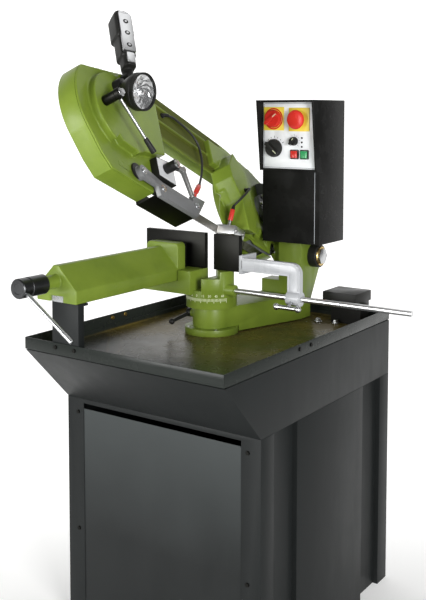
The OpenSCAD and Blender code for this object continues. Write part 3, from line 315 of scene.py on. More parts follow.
SILVER = powder("silver_face", (0.60, 0.61, 0.62), (0.28, 0.4), dust=0.2)
IRON = enamel("grey_casting", (0.16, 0.17, 0.175), (0.11, 0.115, 0.12), 380)
PLASTIC = moulding("black_plastic", (0.012, 0.012, 0.011), (0.32, 0.5), shine=0.18)
BOX_BLACK = moulding("box_black", (0.009, 0.009, 0.0085), (0.2, 0.32), 900, 0.00004, shine=0.045)
PANEL = powder("panel_white", (0.86, 0.88, 0.90), (0.3, 0.42), dust=0.1)
YELLOW = moulding("yellow_plate", (0.78, 0.60, 0.06), (0.26, 0.4))
RED = moulding("red_plastic", (0.56, 0.022, 0.015), (0.18, 0.3))
TAP_RED = moulding("red_tap", (0.50, 0.03, 0.02), (0.24, 0.36))
BUTTON_GREEN = moulding("green_button", (0.03, 0.30, 0.10), (0.2, 0.3))
BRASS = bright_metal("brass", (0.72, 0.52, 0.20), (0.22, 0.38), "any")
PALE = powder("pale_marks", (0.62, 0.66, 0.44), (0.4, 0.55), dust=0.2)
PLATE_GREY = powder("plate_grey", (0.30, 0.32, 0.34), (0.35, 0.5), dust=0.2)
HUB_METAL = bright_metal("hub_metal", (0.085, 0.087, 0.09), (0.28, 0.42), "any", 500)
REFLECTOR = bright_metal("lamp_reflector", (0.93, 0.94, 0.95), (0.18, 0.32), "any", 300)
RUBBER = moulding("hose_rubber", (0.012, 0.012, 0.012), (0.42, 0.6))
CLAMP = clamp_finish("guide_clamp")


finish_of = {
    "cabinet": BLACK, "front_panel": PANEL_BLACK, "tray_skirt": BLACK, "chip_tray": TRAY,
    "cabinet_screws": DARK_STEEL, "rim_screws": DARK_STEEL, "vise_post": BLACK, "guide_bar": STEEL,
    "pedestal": GREEN, "saw_table": GREEN,
    "fixed_jaw": DARK_STEEL, "stop_rod": STEEL_X, "coolant_pump": PLASTIC, "pump_fitting": BRASS,
    "swivel_arm": GREEN, "pivot_shaft": STEEL, "pivot_cap": PLASTIC, "control_box": BOX_BLACK,
    "panel_plate": PANEL, "switch_plates": YELLOW, "indicators": PLASTIC, "mitre_lever": PLASTIC,
    "main_switch": RED, "emergency_stop": RED, "selector_knob": PLASTIC, "speed_knob": PLASTIC,
    "stop_button": RED, "start_button": BUTTON_GREEN, "vise_ram": GREEN, "jaw_plate": DARK_STEEL,
    "clamp_hub": HUB_METAL, "clamp_lever": STEEL, "stop_bracket": CAST_SILVER, "stop_screw": STEEL,
    "bow_casting": BOW_GREEN, "blade_cover": GREEN, "cover_screws": PLASTIC, "gearbox": IRON, "motor": IRON,
    "fan_cover": PLASTIC, "idler_axle": STEEL, "idler_wheel": IRON, "drive_wheel": IRON, "blade": BLADE,
    "handle_grip": PLASTIC, "trigger": ALUMINIUM, "work_lamp": PLASTIC, "lamp_lens": REFLECTOR,
    "tension_lever": ROD_STEEL, "lever_grip": PLASTIC, "guide_bracket": PLASTIC, "guide_arm": GUARD,
    "blade_guard": DARK_STEEL, "front_guide": BLADE, "guide_clamp": CLAMP, "rear_guide": ALUMINIUM,
    "front_tap": TAP_RED, "rear_tap": TAP_RED, "front_hose": RUBBER, "rear_hose": RUBBER,
}
for name, obj in nodes.items():
    obj.data.materials.clear()
    obj.data.materials.append(finish_of[name])


def settle(obj, material, body, stands_for=()):
    """Gives a finished piece its material and the body that it rides on."""
    if material is not None:
        obj.data.materials.clear()
        obj.data.materials.append(material)
    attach(obj, body)
    if stands_for:
        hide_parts(*stands_for)
    return obj


def solid_from(bm, name):
    mesh = bpy.data.meshes.new(name)
    bm.normal_update()
    bm.to_mesh(mesh)
    bm.free()
    obj = bpy.data.objects.new(name, mesh)
    scene.collection.objects.link(obj)
    return obj


def keep_modifiers(obj):
    """Turns the modifiers' result into the piece's plain mesh."""
    shown = obj.evaluated_get(bpy.context.evaluated_depsgraph_get())
    mesh = bpy.data.meshes.new_from_object(shown)
    obj.modifiers.clear()
    obj.data = mesh
    return obj


def shade(obj, angle):
    """Smooth faces with sharp creases above an angle."""
    bm = bmesh.new()
    bm.from_mesh(obj.data)
    for face in bm.faces:
        face.smooth = True
    for edge in bm.edges:
        edge.smooth = len(edge.link_faces) == 2 and edge.calc_face_angle(0) <= math.radians(angle)
    bm.to_mesh(obj.data)
    bm.free()
    return obj


def stand_for(obj, node):
    """Puts a finished piece in a CAD node's place: its finish and its body."""
    return settle(obj, finish_of[node], body_of_node[node], [node])


def merged(node):
    """A copy of a CAD node's mesh with its loose triangles joined."""
    bm = bmesh.new()
    bm.from_mesh(nodes[node].data)
    bmesh.ops.remove_doubles(bm, verts=bm.verts, dist=2e-6)
    return bm


def rounded(node, width, segments=2):
    """A copy of a CAD node with its edges eased, standing for the node."""
    bm = merged(node)
    bmesh.ops.dissolve_limit(bm, angle_limit=math.radians(0.4), verts=bm.verts, edges=bm.edges)
    obj = solid_from(bm, node + "_finished")
    ease = obj.modifiers.new("ease", "BEVEL")
    ease.width, ease.segments = width, segments
    ease.limit_method, ease.angle_limit = "ANGLE", math.radians(28)
    ease.use_clamp_overlap = True
    return stand_for(shade(keep_modifiers(obj), 40), node)


# Tools
def axis_at(point, along):
    """A place whose Z points along a direction."""
    return Matrix.Translation(point) @ Vector(along).to_track_quat("Z", "Y").to_matrix().to_4x4()


NEAR = BOW.to_3x3() @ Vector((1, 0, 0))


def near_side(s, v, n):
    """A place on the bow: Z points to the near side, Y away from the blade and X back along the bow."""
    turn = BOW.to_3x3() @ Matrix(((0, 0, 1), (1, 0, 0), (0, 1, 0)))
    return Matrix.Translation(on_bow(s, v, n)) @ turn.to_4x4()


def turned(name, profile, place, sides=48, ring=False):
    """A lathe piece: radius and height pairs from one end to the other, or round a ring."""
    bm = bmesh.new()
    rows = []
    for radius, height in profile:
        if radius < 1e-6:
            rows.append([bm.verts.new((0, 0, height))] * sides)
        else:
            steps = [2 * math.pi * i / sides for i in range(sides)]
            rows.append([bm.verts.new((radius * math.cos(t), radius * math.sin(t), height)) for t in steps])
    for low, high in zip(rows, rows[1:] + (rows[:1] if ring else [])):
        for i in range(sides):
            corners = (low[i - 1], low[i], high[i], high[i - 1])
            corners = [c for k, c in enumerate(corners) if c is not corners[k - 1]]
            if len(corners) > 2:
                bm.faces.new(corners)
    if not ring:
        for row in (rows[0], rows[-1]):
            if row[0] is not row[1]:
                bm.faces.new(row)
    bmesh.ops.recalc_face_normals(bm, faces=bm.faces)
    bm.transform(place)
    return shade(solid_from(bm, name), 32)


def cut_plate(name, outline, place, low, high, ease=0.0):
    """A flat piece cut to an outline, between two heights, with eased edges."""
    bm = bmesh.new()
    base = [bm.verts.new((x, y, low)) for x, y in outline]
    face = bm.faces.new(base)
    made = bmesh.ops.extrude_face_region(bm, geom=[face])["geom"]
    raised = [g for g in made if isinstance(g, bmesh.types.BMVert)]
    bmesh.ops.translate(bm, vec=(0, 0, high - low), verts=raised)
    bmesh.ops.recalc_face_normals(bm, faces=bm.faces)
    if ease:
        sharp = [e for e in bm.edges if e.calc_face_angle(0) > math.radians(28)]
        bmesh.ops.bevel(bm, geom=sharp, offset=ease, segments=2, profile=0.5, affect="EDGES",
                        clamp_overlap=True)
    bm.transform(place)
    return shade(solid_from(bm, name), 35)


def rounded_box(half_w, half_h, radius):
    """Outline of a rectangle with round corners."""
    steps = 5
    corners = ((half_w - radius, half_h - radius, 0), (radius - half_w, half_h - radius, 90),
               (radius - half_w, radius - half_h, 180), (half_w - radius, radius - half_h, 270))
    turns = [(x, y, math.radians(t + 90 * i / steps)) for x, y, t in corners for i in range(steps + 1)]
    return [(x + radius * math.cos(a), y + radius * math.sin(a)) for x, y, a in turns]


def joined(name, *parts):
    """One piece from several, each keeping its shading."""
    bm = bmesh.new()
    for part in parts:
        bm.from_mesh(part.data)
        bpy.data.objects.remove(part)
    return solid_from(bm, name)


def smooth_line(points):
    """Points on a smooth curve through the given ones."""
    steps = 8
    ends = [points[0] * 2 - points[1], *points, points[-1] * 2 - points[-2]]
    line = []
    for p0, p1, p2, p3 in zip(ends, ends[1:], ends[2:], ends[3:]):
        for i in range(steps):
            t = i / steps
            line.append(0.5 * (2 * p1 + (p2 - p0) * t + (2 * p0 - 5 * p1 + 4 * p2 - p3) * t ** 2
                               + (3 * p1 - p0 - 3 * p2 + p3) * t ** 3))
    return line + [points[-1].copy()]


def tube(name, line, radius):
    """A round tube along a line, closed at both ends."""
    sides = 14
    bm = bmesh.new()
    rows = []
    side = (line[1] - line[0]).orthogonal().normalized()
    for i, point in enumerate(line):
        along = (line[min(i + 1, len(line) - 1)] - line[max(i - 1, 0)]).normalized()
        side = (side - along * side.dot(along)).normalized()
        other = along.cross(side)
        rows.append([bm.verts.new(point + radius * (side * math.cos(t) + other * math.sin(t)))
                     for t in [2 * math.pi * k / sides for k in range(sides)]])
    for low, high in zip(rows, rows[1:]):
        for k in range(sides):
            bm.faces.new((low[k - 1], low[k], high[k], high[k - 1]))
    bm.faces.new(rows[0])
    bm.faces.new(rows[-1])
    bmesh.ops.recalc_face_normals(bm, faces=bm.faces)
    return shade(solid_from(bm, name), 50)


# Pieces that repeat
class Growth:
    """A Geometry Nodes tree with named inputs, grown on a piece and kept as plain mesh."""

    def __init__(self, name, **inputs):
        self.group = bpy.data.node_groups.new(name, "GeometryNodeTree")
        sockets = self.group.interface
        sockets.new_socket("Geometry", in_out="INPUT", socket_type="NodeSocketGeometry")
        for key, value in inputs.items():
            kind = "NodeSocketInt" if isinstance(value, int) else "NodeSocketFloat"
            sockets.new_socket(key, in_out="INPUT", socket_type=kind).default_value = value
        sockets.new_socket("Finish", in_out="INPUT", socket_type="NodeSocketMaterial")
        sockets.new_socket("Geometry", in_out="OUTPUT", socket_type="NodeSocketGeometry")
        self.source = self.group.nodes.new("NodeGroupInput")
        self.result = self.group.nodes.new("NodeGroupOutput")

    def given(self, name):
        return Value(self, self.source.outputs[name])

    def feed(self, socket, value):
        if isinstance(value, Value):
            self.group.links.new(value.socket, socket)
        elif isinstance(value, list):
            for one in value:
                self.group.links.new(one.socket, socket)
        else:
            socket.default_value = value

    def node(self, kind, settings=None, inputs=None, output=0):
        made = self.group.nodes.new(kind)
        for key, value in (settings or {}).items():
            setattr(made, key, value)
        for key, value in (inputs or {}).items():
            self.feed(made.inputs[key], value)
        return Value(self, made.outputs[output])

    def vector(self, x=0.0, y=0.0, z=0.0):
        return self.node("ShaderNodeCombineXYZ", None, {"X": x, "Y": y, "Z": z})

    def close(self, instances):
        real = self.node("GeometryNodeRealizeInstances", None, {"Geometry": instances})
        painted = self.node("GeometryNodeSetMaterial", None, {
            "Geometry": real, "Material": self.given("Finish")})
        self.feed(self.result.inputs[0], painted)
        return self

    def grow(self, obj, material, **values):
        step = obj.modifiers.new(self.group.name, "NODES")
        step.node_group = self.group
        for item in self.group.interface.items_tree:
            if item.in_out == "INPUT" and item.name == "Finish":
                step[item.identifier] = material
            elif item.in_out == "INPUT" and item.name in values:
                step[item.identifier] = values[item.name]
        return shade(keep_modifiers(obj), 35)


def marks(name, places, aims):
    """Bare points for a growth, each with the direction that it faces."""
    mesh = bpy.data.meshes.new(name)
    mesh.from_pydata([tuple(p) for p in places], [], [])
    facing = mesh.attributes.new("aim", "FLOAT_VECTOR", "POINT")
    for item, aim in zip(facing.data, aims):
        item.vector = aim
    obj = bpy.data.objects.new(name, mesh)
    scene.collection.objects.link(obj)
    return obj


def screw_growth(name, sides, key_sides):
    """Screw heads with a washer: round or six-sided, plain or with a key hole."""
    g = Growth(name, Diameter=0.01, Height=0.005, Key=0.005, Washer=0.014)
    d, h = g.given("Diameter"), g.given("Height")
    head = g.node("GeometryNodeMeshCone", None, {
        "Vertices": sides, "Radius Bottom": d * 0.5, "Radius Top": d * 0.45, "Depth": h})
    if key_sides:
        hole = g.node("GeometryNodeMeshCylinder", None, {
            "Vertices": key_sides, "Radius": g.given("Key") * 0.5, "Depth": h})
        hole = g.node("GeometryNodeTransform", None, {"Geometry": hole, "Translation": g.vector(z=h * 1.4)})
        head = g.node("GeometryNodeMeshBoolean", {"operation": "DIFFERENCE"}, {
            "Mesh 1": head, "Mesh 2": hole})
    disc = g.node("GeometryNodeMeshCylinder", None, {
        "Vertices": 28, "Radius": g.given("Washer") * 0.5, "Depth": h * 0.24})
    disc = g.node("GeometryNodeTransform", None, {"Geometry": disc, "Translation": g.vector(z=h * 0.12)})
    whole = g.node("GeometryNodeJoinGeometry", None, {"Geometry": [head, disc]})
    aim = g.node("GeometryNodeInputNamedAttribute", {"data_type": "FLOAT_VECTOR"}, {"Name": "aim"})
    turn = g.node("FunctionNodeAlignRotationToVector", {"axis": "Z"}, {"Vector": aim})
    return g.close(g.node("GeometryNodeInstanceOnPoints", None,
                          {"Points": g.given("Geometry"), "Instance": whole, "Rotation": turn}))


def mark_growth(name, flat):
    """Graduations round an arc: upright on a ring, or flat on a plate."""
    g = Growth(name, Radius=0.05, Start=0.0, Sweep=1.0, Count=10, Every=5, Long=0.008, Short=0.005,
               Width=0.0006, Proud=0.0004)
    index = g.node("GeometryNodeInputIndex")
    angle = g.given("Start") + index * g.given("Sweep") / (g.given("Count") - 1)
    major = index.math("MODULO", index, g.given("Every")) < 0.5
    length = g.given("Short") + major * (g.given("Long") - g.given("Short"))
    radius = g.given("Radius") + (length * 0.5 if flat else 0.0)
    at = g.vector(radius * angle.math("COSINE", angle), radius * angle.math("SINE", angle),
                  0.0 if flat else length * -0.5)
    points = g.node("GeometryNodePoints", None, {"Count": g.given("Count"), "Position": at})
    size = length, g.given("Width"), g.given("Proud")
    return g.close(g.node("GeometryNodeInstanceOnPoints", None,
                          {"Points": points, "Instance": g.node("GeometryNodeMeshCube"),
                           "Rotation": g.vector(z=angle), "Scale": g.vector(*(size if flat else size[::-1]))}))


def tooth_growth():
    """Teeth along an edge that lies along Y, pointing down."""
    g = Growth("saw_teeth", Pitch=0.004, Height=0.0018, Thick=0.0009)
    edge = g.node("GeometryNodeMeshToCurve", None, {"Mesh": g.given("Geometry")})
    points = g.node("GeometryNodeCurveToPoints", {"mode": "LENGTH"}, {
        "Curve": edge, "Length": g.given("Pitch")})
    tooth = g.node("GeometryNodeMeshCone", None, {
        "Vertices": 4, "Radius Bottom": g.given("Pitch") * 0.5, "Radius Top": 0.0, "Depth": g.given("Height")})
    tooth = g.node("GeometryNodeTransform", None, {"Geometry": tooth, "Rotation": (math.pi, 0, 0)})
    return g.close(g.node("GeometryNodeInstanceOnPoints", None,
                          {"Points": points, "Instance": tooth,
                           "Scale": g.vector(g.given("Thick") / g.given("Pitch"), 1.0, 1.0)}))


SOCKET_HEAD = screw_growth("socket_heads", 28, 6)
HEX_HEAD = screw_growth("hex_heads", 6, 0)
CROSS_HEAD = screw_growth("cross_heads", 24, 4)
UPRIGHT_MARKS = mark_growth("ring_marks", False)
FLAT_MARKS = mark_growth("plate_marks", True)


def screws(name, growth, material, body, places, aims, diameter, height, key=0.5, washer=1.25, stands_for=()):
    """Screw heads of one kind on one body."""
    aims = [aims] * len(places) if isinstance(aims, Vector) else aims
    obj = growth.grow(marks(name, places, aims), material, Diameter=diameter, Height=height,
                      Key=diameter * key, Washer=diameter * washer)
    return settle(obj, None, body, stands_for)


def lettering(name, words, size, places):
    """Plain numerals, each at its own place."""
    thick = 0.0003
    parts = []
    for word, place in zip(words, places):
        curve = bpy.data.curves.new("numeral", "FONT")
        curve.body, curve.size, curve.extrude = word, size, thick / 2
        curve.align_x, curve.align_y = "CENTER", "CENTER"
        text = bpy.data.objects.new("numeral", curve)
        scene.collection.objects.link(text)
        mesh = bpy.data.meshes.new_from_object(text.evaluated_get(bpy.context.evaluated_depsgraph_get()))
        mesh.transform(place)
        bpy.data.objects.remove(text)
        part = bpy.data.objects.new("numeral", mesh)
        scene.collection.objects.link(part)
        parts.append(part)
    return joined(name, *parts)


# Floor, backdrop and light
def stage_sheet():
    """A pale floor that curves up into a backdrop behind the saw, and shines a little there."""
    turn = math.radians(35)
    bm = bmesh.new()
    profile = [(-6, 0)] + [(3.2 + 1.6 * math.sin(a), 1.6 - 1.6 * math.cos(a))
                           for a in [math.radians(9 * i) for i in range(11)]] + [(4.8, 8)]
    rings = [[bm.verts.new((x, y, z)) for y, z in profile] for x in (-9, 9)]
    for i in range(len(profile) - 1):
        bm.faces.new((rings[0][i], rings[1][i], rings[1][i + 1], rings[0][i + 1]))
    obj = solid_from(bm, "studio_floor")
    obj.data.transform(Matrix.Rotation(turn, 4, "Z"))
    f = Finish("studio_floor", Emission_Strength=0.74)
    behind = f.split(f.place(turn=(0, 0, -turn)))[1]
    f.set("Emission Color", f.blend(f.spread(behind, -0.4, 0.7), (0.02, 0.02, 0.02), (1, 1, 1)))
    f.set("Base Color", f.blend(f.noise(2, 2), (0.70, 0.70, 0.69), (0.74, 0.74, 0.73)))
    f.set("Roughness", 0.8)
    obj.data.materials.append(f.material)


def studio_light(name, place, aim, power, size):
    light = bpy.data.lights.new(name, "AREA")
    light.energy = power
    light.shape, light.size, light.size_y = "RECTANGLE", *size
    obj = bpy.data.objects.new(name, light)
    scene.collection.objects.link(obj)
    obj.location = place
    obj.rotation_euler = (Vector(aim) - Vector(place)).to_track_quat("-Z", "Y").to_euler()


stage_sheet()
world = bpy.data.worlds.new("studio")
world.use_nodes = True
world.node_tree.nodes["Background"].inputs["Color"].default_value = (1, 1, 1, 1)
world.node_tree.nodes["Background"].inputs["Strength"].default_value = 0.17
scene.world = world
studio_light("key", (3.0, -2.0, 1.35), (0, -0.1, 0.9), 125, (1.2, 1.4))
studio_light("front", (-0.9, -3.3, 1.15), (0, 0, 0.9), 95, (2.0, 1.2))
studio_light("top", (0.2, 0.4, 3.3), (0, 0, 0.9), 8, (1.6, 1.4))
scene.view_settings.view_transform = "Standard"


def islands(node):
    """Centre and size of each loose solid of a CAD node."""
    bm = merged(node)
    left, found = set(bm.verts), []
    while left:
        heap, group = [left.pop()], []
        while heap:
            vert = heap.pop()
            group.append(vert.co.copy())
            for edge in vert.link_edges:
                other = edge.other_vert(vert)
                if other in left:
                    left.remove(other)
                    heap.append(other)
        low = Vector([min(c[k] for c in group) for k in range(3)])
        high = Vector([max(c[k] for c in group) for k in range(3)])
        found.append(((low + high) / 2, high - low))
    bm.free()
    return sorted(found, key=lambda f: tuple(f[0]))


# Coolant hoses
def hose(node, route, *ends):
    """A hose with the elbow that it starts from, on one body or between two. The route is in mm on the bow."""
    points = [on_bow(s / 1000, v / 1000, n / 1000) for s, v, n in route]
    collar = [(0, 0), (0.0075, 0), (0.0075, 0.004), (0.006, 0.005), (0, 0.005)]
    elbow = node.replace("hose", "elbow")
    settle(joined(elbow, tube(elbow, smooth_line(points[:3]), 0.0045),
                  turned(elbow, collar, axis_at(points[0], points[1] - points[0]), 6)), PLASTIC, ends[0])
    line = smooth_line(points[2:])
    radius = 0.003
    obj = tube(node + "_piece", line, radius)
    obj.data.materials.append(RUBBER)
    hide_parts(node)
    length = sum((b - a).length for a, b in zip(line, line[1:]))
    if len(ends) == 2:
        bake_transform(obj)
    else:
        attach(obj, *ends)


# Bow
def cast(node, voxel, passes, share, recess=None):
    """A copy of a node with soft edges and fillets, and a recess cut back square, standing for the node."""
    obj = solid_from(merged(node), node + "_cast")
    skin = obj.modifiers.new("skin", "REMESH")
    skin.mode, skin.voxel_size = "VOXEL", voxel
    ease = obj.modifiers.new("ease", "SMOOTH")
    ease.factor, ease.iterations = 0.5, passes
    thin = obj.modifiers.new("thin", "DECIMATE")
    thin.ratio = share
    if recess:
        cut = obj.modifiers.new("recess", "BOOLEAN")
        cut.operation, cut.solver, cut.object = "DIFFERENCE", "EXACT", recess
    keep_modifiers(obj)
    if recess:
        bpy.data.objects.remove(recess)
    return stand_for(shade(obj, 60), node)


def reflector(place):
    """A shallow dish of small facets, with the bulb in its middle."""
    rings, sectors = 6, 22
    rim, back, depth, facet = 0.0405, 0.0140, 0.0085, 0.0009
    bm = bmesh.new()
    rows = [[bm.verts.new((0, 0, back))] * sectors]
    for i in range(1, rings + 1):
        r = rim * i / rings
        turns = [2 * math.pi * (j + 0.5 * (i % 2)) / sectors for j in range(sectors)]
        heights = [back - depth * (i / rings) ** 2 + facet * ((i + k) % 2) for k in range(sectors)]
        rows.append([bm.verts.new((r * math.cos(t), r * math.sin(t), h)) for t, h in zip(turns, heights)])
    for low, high in zip(rows, rows[1:]):
        for k in range(sectors):
            for corners in ((low[k - 1], low[k], high[k]), (low[k - 1], high[k], high[k - 1])):
                if len(set(corners)) == 3:
                    bm.faces.new(corners)
    bmesh.ops.recalc_face_normals(bm, faces=bm.faces)
    bm.transform(place)
    dish = solid_from(bm, "lamp_dish")
    bulb = [(0, 0.0035), (0.005, 0.004), (0.0085, 0.0065), (0.0095, 0.0095), (0.009, back), (0, back)]
    return joined("lamp_reflector", dish, turned("lamp_bulb", bulb, place, 24))


def work_lamp():
    place = (SWING @ Matrix.Translation((0.020, -0.754, 0.194 - DROP))
             @ Matrix.Rotation(math.radians(-90), 4, "Y"))
    shell = [(0, 0.0155), (0.0415, 0.0155), (0.0412, 0.0015), (0.0425, 0), (0.0443, 0), (0.0455, 0.0012),
             (0.0455, 0.010), (0.0447, 0.0108), (0.0447, 0.0122), (0.0455, 0.013), (0.0455, 0.0215),
             (0.0435, 0.026), (0.039, 0.036), (0.0335, 0.046), (0.0292, 0.055), (0.027, 0.058), (0, 0.058)]
    foot = [(0, 0), (0.02, 0), (0.02, 0.019), (0.018, 0.0225), (0.014, 0.024), (0, 0.024)]
    stand_for(joined("lamp_housing", turned("lamp_body", shell, place, 64),
                     turned("lamp_foot", foot, near_side(0.762, 0.204, BOW_FACE))), "work_lamp")
    stand_for(reflector(place), "lamp_lens")


def grip():
    """The moulded grip, with its trigger bar let into the near face and a plate at each end of the bar."""
    place = (BOW @ Matrix.Translation((0.055, -0.723, 0.246)) @ Matrix.Rotation(math.radians(-2), 4, "X")
             @ Matrix.Rotation(math.radians(-30), 4, "Z"))
    face = place @ Matrix(((0, 0, 1, 0), (1, 0, 0, 0), (0, 1, 0, 0), (0, 0, 0, 1)))
    out = (place.to_3x3() @ Vector((1, 0, 0))).normalized()
    middle = face @ Matrix.Translation((0, 0.1295, 0))
    recess = cut_plate("trigger_recess", rounded_box(0.0175, 0.0635, 0.0005), middle, 0.002, 0.045)
    cast("handle_grip", 0.0016, 24, 0.5, recess)
    rounded("trigger", 0.002)
    heights = (0.086, 0.126, 0.164)
    # Black discs round the trigger screws: painted shade for the dark holes that the screws sit in.
    screws("trigger_hole_shade", SOCKET_HEAD, PLASTIC, "trigger", [place @ Vector((0.031, 0, z)) for z in heights],
           out, 0.014, 0.0008, 0.55, 1.0)
    screws("trigger_screws", SOCKET_HEAD, STEEL, "trigger", [place @ Vector((0.0315, 0, z)) for z in heights],
           out, 0.007, 0.0012, 0.5, 1.0)
    foot = cut_plate("grip_foot_plate", rounded_box(0.0105, 0.0155, 0.003),
                     face @ Matrix.Translation((0, 0.0465, 0.029)), -0.001, 0.002, 0.0007)
    head = cut_plate("grip_head_plate", rounded_box(0.0135, 0.0034, 0.002),
                     face @ Matrix.Translation((0, 0.1975, 0.025)), -0.001, 0.0018, 0.0006)
    settle(joined("grip_plates", foot, head), ALUMINIUM, "bow")


def tension_lever():
    hub = [(0, 0.0005), (0.0118, 0.0005), (0.0125, 0.002), (0.0125, 0.034), (0.0138, 0.036), (0.0138, 0.046),
           (0.0125, 0.0475), (0, 0.0475)]
    settle(turned("lever_hub", hub, near_side(*TENSION_STUD, BOW_FACE)), DARK_STEEL, "tensioner")
    screws("lever_nut", HEX_HEAD, STEEL, "tensioner", [on_bow(*TENSION_STUD, BOW_FACE + 0.0475)], NEAR,
           0.017, 0.007)
    rounded("lever_grip", 0.003, 3)


def front_guide():
    """The guide arm on its bracket, with the guard and the clamp that holds it."""
    rounded("guide_bracket", 0.0018)
    plate = [(0.036, -0.030), (-0.034, -0.030), (-0.034, 0.020), (0.036, 0.032)]
    settle(cut_plate("bracket_face", plate, near_side(*CLAMP_STUD, BOW_FACE), 0, 0.0003), SILVER, "bow")
    strip = [(-0.075, -0.009), (0.070, -0.009), (0.070, 0.005), (-0.075, 0.005)]
    settle(cut_plate("slot_strip", strip, near_side(0.700, 0, SLOT_FACE), 0.00005, 0.00035), BOW_GREEN, "guide")
    rounded("guide_arm", 0.0016)
    bush = [(0, 0.0005), (0.0195, 0.0005), (0.021, 0.0015), (0.021, 0.0048), (0.0195, 0.0058), (0, 0.0058)]
    settle(turned("guide_bush", bush, near_side(0.706, 0.002, SLOT_FACE)), PLASTIC, "guide")
    holes = (0.700, -0.002), (0.624, -0.020), (0.472, -0.010)
    screws("arm_screws", SOCKET_HEAD, STEEL, "guide", [on_bow(s, v, ARM_FACE) for s, v in holes], NEAR,
           0.0128, 0.0046, 0.5, 1.4)
    rounded("blade_guard", 0.0008)
    rounded("guide_clamp", 0.002)
    screws("clamp_nut", HEX_HEAD, STEEL, "guide_lock", [on_bow(*CLAMP_STUD, 0.073)], NEAR, 0.017, 0.006)


def rear_guide_and_taps():
    """The rear guide, the guide blocks and the two coolant taps."""
    rounded("rear_guide", 0.0015)
    rounded("front_guide", 0.001)
    side, up = [SWING.to_3x3() @ Vector(v) for v in ((1, 0, 0), (0, 0, 1))]
    screws("rear_guide_screws", SOCKET_HEAD, ZINC, "bow",
           [SWING @ Vector((0.056, -s, 0.002 - DROP)) for s in (0.268, 0.302)], side, 0.008, 0.004)

    def on_rear_tap(height):
        return axis_at(SWING @ Vector((0.028, -0.300, height - DROP)), up)

    stem = [(0, 0), (0.006, 0), (0.006, 0.004), (0.0047, 0.005), (0.0047, 0.0150), (0, 0.0150)]
    settle(turned("rear_tap_stem", stem, on_rear_tap(0.014)), STEEL, "bow")
    rounded("rear_tap", 0.001)
    rounded("front_tap", 0.001)
    ferrule = [(0, -0.003), (0.005, -0.003), (0.005, 0.006), (0.0038, 0.008), (0.0038, 0.012), (0, 0.012)]
    top, below = on_bow(0.430, 0.069, 0.033), on_bow(0.452, 0.042, 0.033)
    settle(turned("front_ferrule", ferrule, axis_at(top, top - below)), PLASTIC, "guide")
    settle(turned("rear_ferrule", ferrule, on_rear_tap(0.060)), PLASTIC, "bow")


def blade_teeth():
    """Teeth on the blade's lower edge, between the guides."""
    mesh = bpy.data.meshes.new("blade_teeth")
    mesh.from_pydata([(0, -0.313, -0.0107), (0, -0.447, -0.0107)], [(0, 1)], [])
    obj = bpy.data.objects.new("blade_teeth", mesh)
    scene.collection.objects.link(obj)
    tooth_growth().grow(obj, STEEL)
    obj.data.transform(SWING @ Matrix.Translation((0, 0, -DROP)))
    settle(obj, None, "bow")


def bow_fastenings():
    screws("cover_knobs", SOCKET_HEAD, PLASTIC, "bow", [p + NEAR * 0.0015 for p, _ in islands("cover_screws")],
           -NEAR, 0.018, 0.008, 0.4, 1.2, ["cover_screws"])
    drive_s, drive_v, ring_r = 0.076, 0.1292, 0.036
    ring = [(drive_s + ring_r * math.cos(t), drive_v + ring_r * math.sin(t))
            for t in [math.pi * k / 3 for k in range(6)]]
    screws("gearbox_screws", SOCKET_HEAD, ZINC, "bow", [on_bow(s, v, 0.057) for s, v in ring], NEAR,
           0.010, 0.006)


# Controls
PANEL_FACE = 0.1925
MAIN_SWITCH, EMERGENCY_STOP = (0.001, 1.280), (0.081, 1.278)
SELECTOR, SPEED_KNOB = (0.002, 1.199), (0.065, 1.219)
BUTTON_HEIGHT = 1.183


def on_panel(x, z, y=PANEL_FACE):
    """A place on the panel whose Z points out of it."""
    return Matrix.Translation((x, y, z)) @ Matrix(((1, 0, 0, 0), (0, 0, -1, 0), (0, 1, 0, 0), (0, 0, 0, 1)))


def frame_plate(name, outer, inner, place, low, high):
    """A flat frame between two outlines with the same number of corners."""
    bm = bmesh.new()
    rows = [[bm.verts.new((x, y, z)) for x, y in line]
            for line, z in ((outer, low), (outer, high), (inner, high), (inner, low))]
    for i, row in enumerate(rows):
        above = rows[(i + 1) % 4]
        for k in range(len(row)):
            bm.faces.new((row[k - 1], row[k], above[k], above[k - 1]))
    bmesh.ops.recalc_face_normals(bm, faces=bm.faces)
    bm.transform(place)
    return shade(solid_from(bm, name), 30)


def knob(node, x, z, y, radius, height, turn):
    """A round switch knob with a grip bar across it, and a pale pointer on the bar."""
    place, lift = on_panel(x, z, y), 0.007
    across = Matrix.Rotation(math.radians(turn), 4, "Z")
    profile = [(0, 0), (radius, 0), (radius, height * 0.3), (radius * 0.94, height * 0.38),
               (radius * 0.9, height * 0.9), (radius * 0.86, height), (0, height)]
    bar = rounded_box(radius * 0.95, radius * 0.2 + 0.0008, radius * 0.2)
    stand_for(joined(node + "_turned", turned(node, profile, place),
                     cut_plate(node, bar, place @ across, height - 0.001, height + lift, 0.0012)), node)
    tip = place @ across @ Matrix.Translation((radius * 0.62, 0, height + lift))
    pointer = cut_plate(node + "_pointer", rounded_box(radius * 0.26, 0.0011, 0.0008), tip, -0.0002, 0.0003)
    settle(pointer, PALE, body_of_node[node])


def dial(name, at, **sizes):
    """Flat graduations round a knob."""
    obj = FLAT_MARKS.grow(marks(name, [], []), PLASTIC, **sizes)
    obj.data.transform(on_panel(*at, PANEL_FACE - 0.0001))
    settle(obj, None, "swivel")


